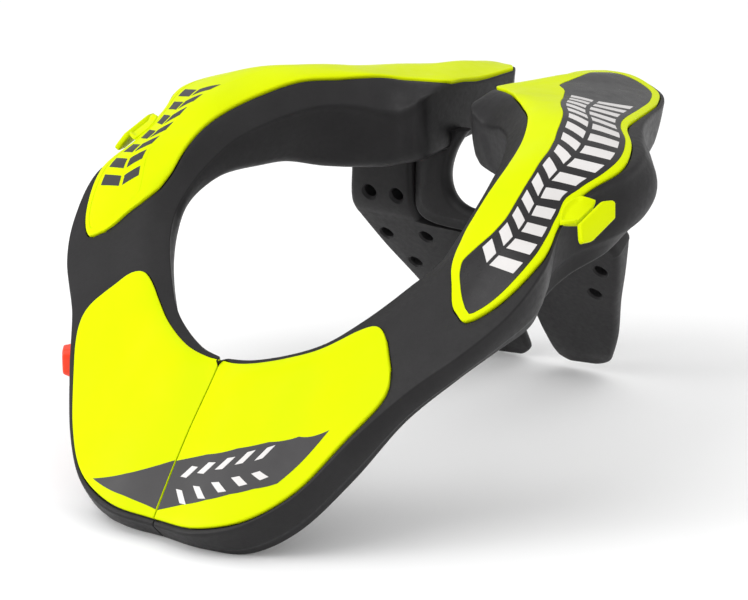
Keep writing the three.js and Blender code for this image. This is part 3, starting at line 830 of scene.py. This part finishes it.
@dataclass
class Panel:
    """A smooth plate that lies in its seat on the top face, with rounded edges."""

    outline: Outline
    sink: float = 0.0012
    stand: float = 0.0012
    edge: float = 0.0009
    seam_edge: float = 0.0009
    field_outline: Outline | None = None
    field_sink: float = 0.0005
    field_slope: float = 0.0003
    field_clear: tuple = (0.001, 0.0003)
    step: float = 0.05
    start_clear: float = 0.0
    shrink: float = 0.0

    def arc(self) -> list[tuple[float, float]]:
        """A rounded edge's run inwards and its drop, both as shares of the edge, from the border inwards."""
        return [(1 - math.cos(a), 1 - math.sin(a)) for a in (math.pi / 8 * k for k in range(5))]

    def along(self) -> Arrays:
        """Rings along the plate.

        Returns:
            Their places, how far the rounding drops the surface there, and 1 where the field is sunk.
        """
        start, end = self.outline.ends[0] + self.start_clear, self.outline.ends[1]
        near = self.seam_edge / float(FORM.stride(start, 0.5))
        far = self.edge / float(FORM.stride(end, 0.5))
        rows = [(start + near * run, self.seam_edge * drop, 0.0) for run, drop in self.arc()]
        inside = self.field_outline.ends if self.field_outline else []
        marks = [rows[-1][0], *inside, end - far]
        for k, (a, b) in enumerate(zip(marks, marks[1:])):
            sunk = float(bool(inside) and k == 1)
            rows += [(x, 0.0, sunk) for x in crowded(a, b, self.step, 0.6)]
        rows += [(end - far * run, self.edge * drop, 0.0) for run, drop in reversed(self.arc())]
        return tuple(np.array(rows).T)

    def across(self, u: Array, sunk: Array) -> Arrays:
        """Rows across the plate at each ring.

        Args:
            u: the rings' places.
            sunk: 1 where the printed field is sunk, otherwise 0.

        Returns:
            Shares across the top face, drops of the rounding, and depths of the printed field.
        """
        inner, outer = self.outline.edges(u)
        wide, flat = FORM.width(u), 0 * u
        inner, outer = inner + self.shrink / wide, outer - self.shrink / wide
        edge = np.minimum(self.edge, 0.45 * (outer - inner) * wide) / wide
        left, right = inner + edge, outer - edge
        rows = [(inner + edge * run, self.edge * drop + flat, flat) for run, drop in self.arc()]
        if self.field_outline:
            a, b = self.field_outline.edges(u)
            clear = np.array(self.field_clear)[:, None] / wide
            a, b = np.maximum(a, left + clear[0]), np.minimum(b, right - clear[1])
            a, b = np.minimum(a, (a + b) / 2), np.maximum(b, (a + b) / 2)
            slope = np.minimum(self.field_slope / wide, (b - a) / 3)
            deep = sunk * self.field_sink
            strips = ((left, a, 6, flat), (a + slope, b - slope, 9, deep), (b, right, 3, flat))
            for start, end, count, depth in strips:
                rows += [(start + (end - start) * f, flat, depth) for f in np.linspace(0, 1, count)]
        else:
            rows += [(left + (right - left) * f, flat, flat) for f in np.linspace(0, 1, 18)[1:-1]]
        rows += [(outer - edge * run, self.edge * drop + flat, flat) for run, drop in reversed(self.arc())]
        return tuple(np.stack(column, -1) for column in zip(*rows))

    def build(self, name: str, side: Side, finish: Finish) -> Piece:
        """Make the plate.

        Args:
            name: the piece's name without its side.
            side: the wearer's side.
            finish: its finish.

        Returns:
            The plate, not yet settled in the frame.
        """
        u, end_drop, sunk = self.along()
        shares, drops, depths = self.across(u, sunk)
        height = self.stand - np.maximum(drops, end_drop[:, None]) - depths
        surface = Surface(side)
        surface.plate(*(FORM.lifted(u[:, None], shares, h) for h in (height, -self.sink)))
        return surface.build(f"{name}_{side.word}", finish)


@dataclass
class Marks:
    """Flat shapes of ink on one side's panel, each with four corners on the panel's chart."""

    outline: Outline
    height: float
    surface: Surface
    thick: float = 0.0001
    spine: float = 0.035
    grid: tuple[int, int] = (11, 9)

    def patch(self, *corners: tuple[float, float]) -> None:
        """Add one patch.

        Args:
            *corners: place along the half and share between the outline's edges, corner by corner.
        """
        s, t = np.meshgrid(*(np.linspace(0, 1, count) for count in self.grid), indexing="ij")
        a, b, c, d = np.array(corners)[..., None, None]
        u, share = (1 - s) * (1 - t) * a + s * (1 - t) * b + s * t * c + (1 - s) * t * d
        inner, outer = self.outline.edges(u)
        v = inner + (outer - inner) * share
        self.surface.plate(*(FORM.lifted(u, v, self.height + h) for h in (self.thick, 0)))

    def chevron(self, place: float, thick: float, deep: float, spread: tuple[float, float, float]) -> None:
        """Add one arrowhead stripe of two slanted bars beside a bare spine.

        Args:
            place: where its point stands along the half.
            thick: the bars' thickness along the half.
            deep: how far the bars' outer ends stand behind the point.
            spread: shares across at the inner end, the spine and the outer end.
        """
        low, middle, high = spread
        for end, start in ((low, middle - self.spine), (high, middle + self.spine)):
            self.patch((place, start), (place + deep, end), (place + deep + thick, end), (place + thick, start))

    def build(self, name: str, finish: Finish) -> None:
        """Make the shapes one piece and settle it."""
        settle(self.surface.build(name, finish), Slot.PRINT)


@dataclass
class ChestPanels:
    """The two yellow panels on the chest, with a dark slanted band across both."""

    plate: Panel = field(default_factory=lambda: Panel(
        Outline(CHEST_OUTLINE), seam_edge=0.0003, start_clear=0.004))
    top_left: tuple = ((0.02, 0.666), (0.82, 0.606), (1.52, 0.583), (2.20, 0.593), (2.86, 0.640), (3.54, 0.790))
    foot_left: tuple = ((0.02, 0.951), (0.58, 0.891), (1.12, 0.853), (1.62, 0.836), (2.10, 0.841), (2.58, 0.872))
    top_right: tuple = ((0.02, 0.666), (0.31, 0.717), (0.64, 0.772), (0.97, 0.828), (1.31, 0.893), (1.66, 0.960))
    foot_right: tuple = ((0.02, 0.951), (0.14, 0.947), (0.29, 0.942), (0.46, 0.938), (0.62, 0.935), (0.80, 0.932))
    ink: float = 0.00012
    chevrons: tuple = (0.30, 0.72, 1.14, 1.56, 1.98)
    chevron_thick: float = 0.17
    chevron_deep: float = 0.22
    chevron_margin: float = 0.035

    def build(self) -> None:
        """Make and settle both panels and their marks."""
        lines = {Side.LEFT: (self.top_left, self.foot_left), Side.RIGHT: (self.top_right, self.foot_right)}
        for side, (top, foot) in lines.items():
            panel = self.plate.build("chest_panel", side, Finish.YELLOW)
            settle(panel, Slot.YELLOW, f"front_panel_{side.word}")
            band = Marks(self.plate.outline, self.plate.stand, Surface(side), self.ink)
            for a, b, c, d in zip(top, top[1:], foot[1:], foot):
                band.patch(a, b, c, d)
            band.build(f"chest_band_{side.word}", Finish.DARK_INK)
        marks = Marks(self.plate.outline, self.plate.stand + self.ink, Surface(Side.LEFT))
        for place in self.chevrons:
            low, high = (float(np.interp(place, *np.transpose(line))) for line in (self.top_left, self.foot_left))
            low, high = low + self.chevron_margin, high - self.chevron_margin
            marks.chevron(place, self.chevron_thick, self.chevron_deep, (low, (low + high) / 2, high))
        marks.build("chest_chevrons", Finish.PALE_INK)


@dataclass
class ArmPanels:
    """The yellow panels along the arms, with their printed fields."""

    plate: Panel = field(default_factory=lambda: Panel(
        Outline(ARM_OUTLINE), field_outline=Outline(FIELD_OUTLINE)))
    inlay: Panel = field(default_factory=lambda: Panel(
        Outline(FIELD_OUTLINE), sink=-0.0006, stand=0.00105, edge=0.0002, seam_edge=0.0002, shrink=0.0002))
    first: float = 7.30
    last_left: float = 14.6
    last_right: float = 10.6
    pitch: float = 0.0112
    bar: float = 0.0064
    slant: float = 0.0050
    spread: tuple = (0.10, 0.44, 0.90)

    def build(self) -> None:
        """Make and settle the panels, fields and marks of both arms."""
        looks = {Side.LEFT: (Finish.PRINT, Slot.PRINT, Finish.PALE_INK, self.last_left),
                 Side.RIGHT: (Finish.YELLOW, Slot.YELLOW, Finish.DARK_INK, self.last_right)}
        for side, (base, slot, ink, last) in looks.items():
            panel = self.plate.build("arm_panel", side, Finish.YELLOW)
            settle(panel, Slot.YELLOW, f"side_panel_{side.word}")
            settle(self.inlay.build("arm_field", side, base), slot, f"side_graphic_{side.word}")
            marks, place = Marks(self.inlay.outline, self.inlay.stand, Surface(side)), self.first
            while place < last:
                step = float(FORM.stride(place, 0.7))
                marks.chevron(place, self.bar / step, self.slant / step, self.spread)
                place += self.pitch / step
            marks.build(f"arm_chevrons_{side.word}", ink)


# ---------------------------------------------------------------- hooks, bridge, flaps, button


@dataclass
class StrapHook:
    """A yellow hook on the arm's rim: a dished saddle that comes over the rim and a long cap."""

    side: Side
    length: float = 0.030
    width: float = 0.0094
    thick: float = 0.0030
    lean: float = 34.0
    stand: float = 0.0143
    set_back: float = 0.0022
    below_rim: float = 0.0050
    rise: float = 0.34
    station: float = 9.5
    edge: float = 0.0009
    corners: tuple = ((-1, -0.45), (-0.94, -0.05), (-0.62, 1), (0.62, 1), (0.96, 0.4), (1, 0.05), (0.62, -1),
                      (-0.62, -1))
    seat_from: float = 9.0
    seat_to: float = 9.8
    seat_reach: float = 0.0059
    seat_length: float = 0.0160
    seat_above_rim: float = 0.0006
    seat_dish: float = 0.0013
    seat_thick: tuple = (0.0010, 0.0026)
    # The saddle's rows on the panel: how far they bow inwards as shares across, and their heights.
    seat_start: tuple = (0.066, 0.0004)
    seat_rise: tuple = (0.052, 0.0017)
    seat_turn: tuple = (0.05, 0.0030)

    def cap(self) -> bpy.types.Mesh:
        """The cap as a block with rounded edges.

        Returns:
            Its mesh, in place on the left side.
        """
        along = Vector((0, 1, self.rise)).normalized()
        upright, sideways = Vector((0, -self.rise, 1)).normalized(), Vector((1, 0, 0))
        cos, sin = math.cos(math.radians(self.lean)), math.sin(math.radians(self.lean))
        out, up = sideways * cos + upright * sin, upright * cos - sideways * sin
        a, b = self.length / 2, self.width / 2
        middle = Vector((self.stand - self.thick * cos - b * sin, self.set_back, -self.below_rim))
        middle += Vector(FORM.top(self.station, 1))
        near = [middle + along * (x * a) + up * (y * b) for x, y in self.corners]
        return block("cap", near, [corner + out * self.thick for corner in near], self.edge)

    def saddle(self) -> Arrays:
        """The saddle's upper and lower skin from the panel's edge out to the cap, dished inside a raised rim.

        Returns:
            Two grids of points on the left side.
        """
        along = np.linspace(0, 1, 29)
        u = self.seat_from + (self.seat_to - self.seat_from) * along
        outline, arch = Outline(ARM_OUTLINE).edges(u)[1], np.sin(np.pi * along)
        run = (along - 0.5) * self.seat_length
        end = np.stack([0 * run + self.seat_reach, run, run * self.rise + self.seat_above_rim], 1)
        end += FORM.top(self.station, 1)
        start, rise = (FORM.lifted(u, outline - bow * arch, h) for bow, h in (self.seat_start, self.seat_rise))
        turn = FORM.lifted(u, np.minimum(outline + self.seat_turn[0], 0.995), self.seat_turn[1]) + (0.0008, 0, 0)
        rows = [(1 - f) ** 2 * rise + 2 * f * (1 - f) * turn + f * f * end for f in np.linspace(0, 1, 15)]
        top = np.stack([start, *rows], 1)
        dish = ramp(np.minimum(along, 1 - along), 0.05, 0.17)[:, None] * ramp(np.arange(len(rows) + 1), 2, 4)
        top[..., 2] -= self.seat_dish * dish
        thick = self.seat_thick[0] + self.seat_thick[1] * np.sqrt(arch)
        return top, top - np.array([0.0004, 0, 1.0]) * thick[:, None, None]

    def build(self) -> None:
        """Make and settle the hook."""
        surface = Surface(self.side)
        surface.plate(*self.saddle())
        cap = self.cap()
        first = surface.add_points([corner.co for corner in cap.vertices])
        surface.faces.extend(tuple(first + i for i in face.vertices) for face in cap.polygons)
        bpy.data.meshes.remove(cap)
        hook = surface.build(f"hook_{self.side.word}", Finish.YELLOW, 40)
        settle(hook, Slot.YELLOW, f"strap_hook_{self.side.word}")


@dataclass
class RearBridge:
    """The U-shaped bridge low at the rear, rolled towards its window and thin at its flange."""

    half: float = 0.037
    leg: float = 0.024
    front: float = 0.084
    rear: float = 0.093
    roll: float = 0.0044
    steps: int = 72
    flange_width: float = 0.006
    # Knots of the borders: shares of the half width and the height.
    outside: tuple = ((1, 0.84), (1, 0.6), (1, 0.544), (0.8, 0.525), (0, 0.525))
    window: tuple = ((0.45, 0.84), (1.78, 0.725), (1.52, 0.597), (0, 0.597))
    # The flange's section: metres beyond the outer border and behind the front face.
    flange: tuple = ((-0.0060, 0.0004), (-0.0028, 0.0016), (-0.0010, 0.0018), (-0.0003, 0.0022),
                     (0.0, 0.0030), (0.0, 0.0080), (-0.0010, 0.0090))

    def border(self, knots: tuple, half: float) -> Array:
        """One border as a line in x and height, from the left arm's top to the right one's.

        Args:
            knots: the left side's knots, of which the last four make a curve.
            half: the half width that they are shares of.

        Returns:
            The line's points at equal steps.
        """
        knots = np.array(knots) * (half, FORM.height)
        a, b, c, d = knots[-4:]
        t = np.linspace(0, 1, 40)[:, None]
        curve = (1 - t) ** 3 * a + 3 * t * (1 - t) ** 2 * b + 3 * t * t * (1 - t) * c + t**3 * d
        left = np.concatenate([knots[:-4], curve])
        line = np.concatenate([left, (left * (-1, 1))[::-1]])
        gone = np.concatenate([[0], np.cumsum(np.linalg.norm(np.diff(line, axis=0), axis=1))])
        at = np.linspace(0, gone[-1], self.steps)
        return np.stack([np.interp(at, gone, column) for column in line.T], 1)

    def section(self, outer: Array, inner: Array) -> list[tuple[float, float, float]]:
        """One closed cross-section between matching points of the borders.

        Args:
            outer: the outer border's point, as x and height.
            inner: the inner border's point.

        Returns:
            Its points.
        """
        span = float(np.linalg.norm(outer - inner))
        way, flat = (outer - inner) / span, span - self.roll
        middle, half = (self.front + self.rear) / 2, (self.rear - self.front) / 2

        def turn(a: float, face: float) -> tuple[float, float]:
            """A point of the rolled edge at an angle, on the front (-1) or the rear (1)."""
            return self.roll * (1 - math.cos(a)), middle + face * half * math.sin(a)

        line = [turn(a, -1) for a in np.linspace(0, math.pi / 2, 8)]
        line += [(self.roll + (flat - self.flange_width) * f, self.front) for f in (0.3, 0.6, 0.9)]
        line += [(span + over, self.front + y) for over, y in self.flange]
        line += [(self.roll + flat * f, self.rear) for f in (0.7, 0.4)]
        line += [turn(math.pi * f, 1) for f in (0.5, 0.25)]
        return [(inner[0] + way[0] * d, y, inner[1] + way[1] * d) for d, y in line]

    def build(self, halves: list[Piece]) -> None:
        """Make and settle the bridge.

        Args:
            halves: the moulded halves that its arms sit under.
        """
        borders = self.border(self.outside, self.half), self.border(self.window, self.half - self.leg)
        surface = Surface(Side.LEFT)
        surface.tube([self.section(outer, inner) for outer, inner in zip(*borders)])
        bridge = surface.build("rear_bridge_body", Finish.INK, 45)
        cut_away(bridge, 45, *((half, UNDER_GAP) for half in halves))
        settle(bridge, Slot.INK, "rear_bridge")


# Rows of a back flap from its top edge to its foot: place behind the seam, height, middle plane
# to the inner and outer edge, as shares of the depth, the height and the half width, and thickness.
FLAP_ROWS = (
    (0.757, 0.790, 0.2992, 0.590, 0.015),
    (0.764, 0.612, 0.2992, 0.612, 0.015),
    (0.780, 0.544, 0.2992, 0.628, 0.015),
    (0.792, 0.519, 0.2992, 0.630, 0.015),
    (0.798, 0.506, 0.0800, 0.624, 0.014),
    (0.844, 0.400, 0.0720, 0.568, 0.011),
    (0.896, 0.287, 0.0640, 0.496, 0.009),
    (0.960, 0.150, 0.0560, 0.416, 0.007),
    (1.000, 0.069, 0.0600, 0.352, 0.005),
    (1.018, 0.037, 0.0660, 0.320, 0.004),
    (1.028, 0.016, 0.0920, 0.272, 0.003),
)


@dataclass
class BackFlap:
    """A moulded back flap that thins towards its foot, with dished round holes."""

    side: Side
    hole: float = 0.0035
    dish: float = 0.0009
    dish_reach: float = 0.0040
    drill: float = 0.022
    edge: float = 0.0034
    foot_round: float = 0.0060
    ring_step: float = 0.125
    close_rings: tuple = (3.02, 3.98, 9.94, 9.98)
    # The holes' middles: shares of the half width and the height.
    holes: tuple = ((0.512, 0.600), (0.376, 0.606), (0.512, 0.444), (0.304, 0.462), (0.432, 0.344))

    def read(self, at: Array) -> Array:
        """The rows' columns at places between them.

        Args:
            at: row numbers, whole or not.

        Returns:
            The five columns in metres, place by place.
        """
        table = np.array(FLAP_ROWS) * (FORM.depth, FORM.height, FORM.half_width, FORM.half_width, 1)
        table[:, 0] -= FORM.front_to_middle
        number = np.arange(len(table))
        y, z, _, outer, thick = (monotone(number, column, at) for column in table.T)
        inner = np.interp(at, number, table[:, 2])
        drop = np.clip((z - table[-1, 1]) / self.foot_round, 0, 1)
        turn = self.foot_round * 0.5 * (1 - np.sqrt(1 - (1 - drop) ** 2))
        return np.stack([y, z, inner + turn, outer - turn, thick], -1)

    def section(self, inner: float, outer: float, thick: float) -> list[tuple[float, float]]:
        """One rounded cross-section, as places in x and in depth.

        Args:
            inner: the edge near the middle plane.
            outer: the other edge.
            thick: the flap's thickness.

        Returns:
            Its points.
        """
        r, line = min(self.edge, 0.45 * thick), []
        for start, x, d in ((-90, outer - r, r), (0, outer - r, thick - r), (90, inner + r, thick - r),
                            (180, inner + r, r)):
            turn = np.radians(start + 22.5 * np.arange(5))
            line += zip(x + r * np.cos(turn), d + r * np.sin(turn))
            if start in (0, 180):
                flat = 0.0 if start else thick
                line += [(x + (inner + outer - 2 * x) * f, flat) for f in (0.2, 0.4, 0.6, 0.8)]
        return line

    def rings(self) -> Array:
        """The flap's cross-sections from its top edge to its foot.

        Returns:
            Points, ring by ring.
        """
        last = len(FLAP_ROWS) - 1
        at = np.unique([*np.arange(0, last + 0.01, self.ring_step), *self.close_rings])
        ahead = self.read(np.minimum(at + 0.2, last)) - self.read(np.maximum(at - 0.2, 0))
        back = unit(np.stack([-ahead[:, 1], ahead[:, 0]], 1))
        return np.array([[(x, y + a * d, z + b * d) for x, d in self.section(*sizes)]
                         for (y, z, *sizes), (a, b) in zip(self.read(at), back)])

    def pins(self) -> Piece:
        """The pins that cut the dished holes.

        Returns:
            All of them as one object.
        """
        surface = Surface(self.side)
        rows = self.read(np.arange(len(FLAP_ROWS)))
        turn = np.linspace(0, 2 * math.pi, 28, endpoint=False)[:, None]
        rims = ((-self.dish_reach, self.dish + self.dish_reach), (0.0, self.dish), (self.dish, 0.0),
                (self.drill, 0.0))
        for x, z in np.array(self.holes) * (FORM.half_width, FORM.height):
            k = int(np.argmax(rows[:, 1] <= z))
            high, low = rows[k - 1], rows[k]
            y = np.interp(z, (low[1], high[1]), (low[0], high[0]))
            axis = unit(np.array([0, high[1] - low[1], low[0] - high[0]]))
            circle = np.cos(turn) * (1, 0, 0) + np.sin(turn) * (0, -axis[2], axis[1])
            rings = [(x, y, z) + axis * d + circle * (self.hole + wider) for d, wider in rims]
            surface.tube(rings)
        return surface.build("pins", Finish.INK)

    def build(self, half: Piece) -> None:
        """Make and settle the flap.

        Args:
            half: the moulded half that it sits under.
        """
        surface = Surface(self.side)
        surface.tube(self.rings())
        flap = surface.build(f"back_flap_body_{self.side.word}", Finish.INK, 40)
        pins = self.pins()
        cut_away(flap, 40, (pins, 0.0), (half, UNDER_GAP))
        bpy.data.objects.remove(pins)
        settle(flap, Slot.INK, f"back_flap_{self.side.word}")


@dataclass
class PressButton:
    """The red button that stands out of the right half's front wall."""

    half_width: float = 0.008
    half_height: float = 0.0105
    stand: float = 0.0090
    deep: float = 0.007
    station: float = 4.56
    rise: float = 0.0039
    edge: float = 0.0010
    outward: tuple = (-0.78, -0.62, 0)
    corners: tuple = ((-1, -0.6), (-0.7, -1), (0.7, -1), (1, -0.6), (1, 0.6), (0.7, 1), (-0.7, 1), (-1, 0.6))
    face_width: float = 0.70
    face_height: float = 0.56
    face_rise: float = 0.0020
    pocket: tuple = (-0.011, 0.020)
    pocket_gap: float = 0.0005

    def ring(self, at: float, grow: float = 0.0, face: bool = False) -> list[Vector]:
        """The button's eight corners across the wall on the right side.

        Args:
            at: how far outwards from the wall they stand.
            grow: how much larger they are than the button all round.
            face: draw them together for the outer face.

        Returns:
            The corners.
        """
        out, up = Vector(self.outward).normalized(), Vector((0, 0, 1))
        across = up.cross(out).normalized()
        low = Vector(FORM.corners(self.station)["low"])
        middle = Vector((-low.x, low.y, low.z + self.rise)) + out * at
        wide, tall, lift = (self.face_width, self.face_height, self.face_rise) if face else (1, 1, 0)
        a, b = (self.half_width + grow) * wide, (self.half_height + grow) * tall
        return [middle + across * (x * a) + up * (y * b + lift) for x, y in self.corners]

    def build(self, half: Piece) -> None:
        """Cut the button's pocket and make and settle the button.

        Args:
            half: the right moulded half.
        """
        sides = [self.ring(at, self.pocket_gap) for at in self.pocket]
        pocket = put("pocket", block("pocket", *sides, 0), Finish.INK.material)
        cut_away(half, HALF_ANGLE, (pocket, 0.0))
        bpy.data.objects.remove(pocket)
        mesh = block("press_button", self.ring(-self.deep), self.ring(self.stand, face=True), self.edge, False)
        button = put("press_button", mesh, Finish.RED.material)
        soften(button, 35)
        settle(button, Slot.RED, "release_button", body="button")


# ---------------------------------------------------------------- studio


@dataclass
class Studio:
    """A pale floor, soft lights and the photograph's camera."""

    azimuth: float = 37.0
    elevation: float = 17.7
    distance: float = 1.406
    lens: float = 144.4
    target: tuple = (0.0, 0.0035, 0.0706)
    floor_size: float = 24.0
    paper: tuple = (0.965, 0.985)
    horizon: float = 0.42
    zenith: float = 1.00
    climb: tuple = (0.05, 0.75)
    # Lights: name, place, side of the square in metres, and watts; all face a point above the floor.
    lights: tuple = (("key", (-0.30, -1.20, 1.7), 1.2, 11.0), ("front_left", (-1.10, -1.30, 0.6), 0.7, 13.0),
                     ("side", (1.70, 0.75, 0.8), 0.8, 6.0))
    lit_height: float = 0.08

    def camera(self) -> None:
        """Place the camera at the photograph's viewing angle."""
        a, e = math.radians(self.azimuth), math.radians(self.elevation)
        back = Vector((math.sin(a) * math.cos(e), -math.cos(a) * math.cos(e), math.sin(e)))
        data = bpy.data.cameras.new("camera")
        data.lens, data.sensor_width = self.lens, 36.0
        data.clip_start, data.clip_end = 0.05, 20.0
        camera = put("camera", data)
        camera.location = Vector(self.target) + back * self.distance
        camera.rotation_euler = back.to_track_quat("Z", "Y").to_euler()
        bpy.context.scene.camera = camera

    def floor(self) -> None:
        """Lay the pale floor."""
        half = self.floor_size / 2
        mesh = bpy.data.meshes.new("floor")
        corners = [(x * half, y * half, 0) for x, y in ((-1, -1), (1, -1), (1, 1), (-1, 1))]
        mesh.from_pydata(corners, [], [(0, 1, 2, 3)])
        kit = Nodes(bpy.data.materials.new("floor_paper"), "Principled BSDF", "Object")
        dark, light = ((grey, grey, grey) for grey in self.paper)
        kit.feed(kit.shader, {"Base Color": kit.blend(kit.noise(Waves(6.0, 2.0, 3.0)), dark, light),
                              "Roughness": 0.9, "Specular IOR Level": 0.1})
        floor = put("floor", mesh, kit.owner)

    def light(self) -> None:
        """Hang the soft square lights."""
        for name, place, size, power in self.lights:
            data = bpy.data.lights.new(name, "AREA")
            data.shape, data.size, data.energy = "SQUARE", size, power
            lamp = put(name, data)
            lamp.location = place
            way = Vector(place) - Vector((0, 0, self.lit_height))
            lamp.rotation_euler = way.to_track_quat("Z", "Y").to_euler()

    def sky(self) -> bpy.types.World:
        """A soft white sky, brightest overhead and dimmer towards the horizon.

        Returns:
            The world.
        """
        kit = Nodes(bpy.data.worlds.new("studio_white"), "Background", "Generated")
        height = kit.add("ShaderNodeSeparateXYZ", "Z", {"Vector": kit.place})
        strength = kit.spread(height, self.climb, (self.horizon, self.zenith))
        kit.feed(kit.shader, {"Color": (1, 1, 1, 1), "Strength": strength})
        return kit.owner

    def build(self) -> None:
        """Set up the whole studio."""
        scene = bpy.context.scene
        scene.view_settings.view_transform = "Standard"
        scene.view_settings.look = "None"
        scene.world = self.sky()
        self.camera()
        self.floor()
        self.light()
        LOG.info("studio ready")


def main() -> None:
    """Build the studio and every sub-assembly in order."""
    logging.basicConfig(level=logging.INFO, format="%(name)s %(message)s")
    Studio().build()
    halves = {side: MouldedHalf(side).build() for side in Side}
    RearBridge().build(list(halves.values()))
    PressButton().build(halves[Side.RIGHT])
    for side, half in halves.items():
        settle(half, Slot.INK, f"collar_{side.word}")
    ChestPanels().build()
    ArmPanels().build()
    for side in Side:
        StrapHook(side).build()
        BackFlap(side).build(halves[side])


if __name__ == "__main__":
    main()
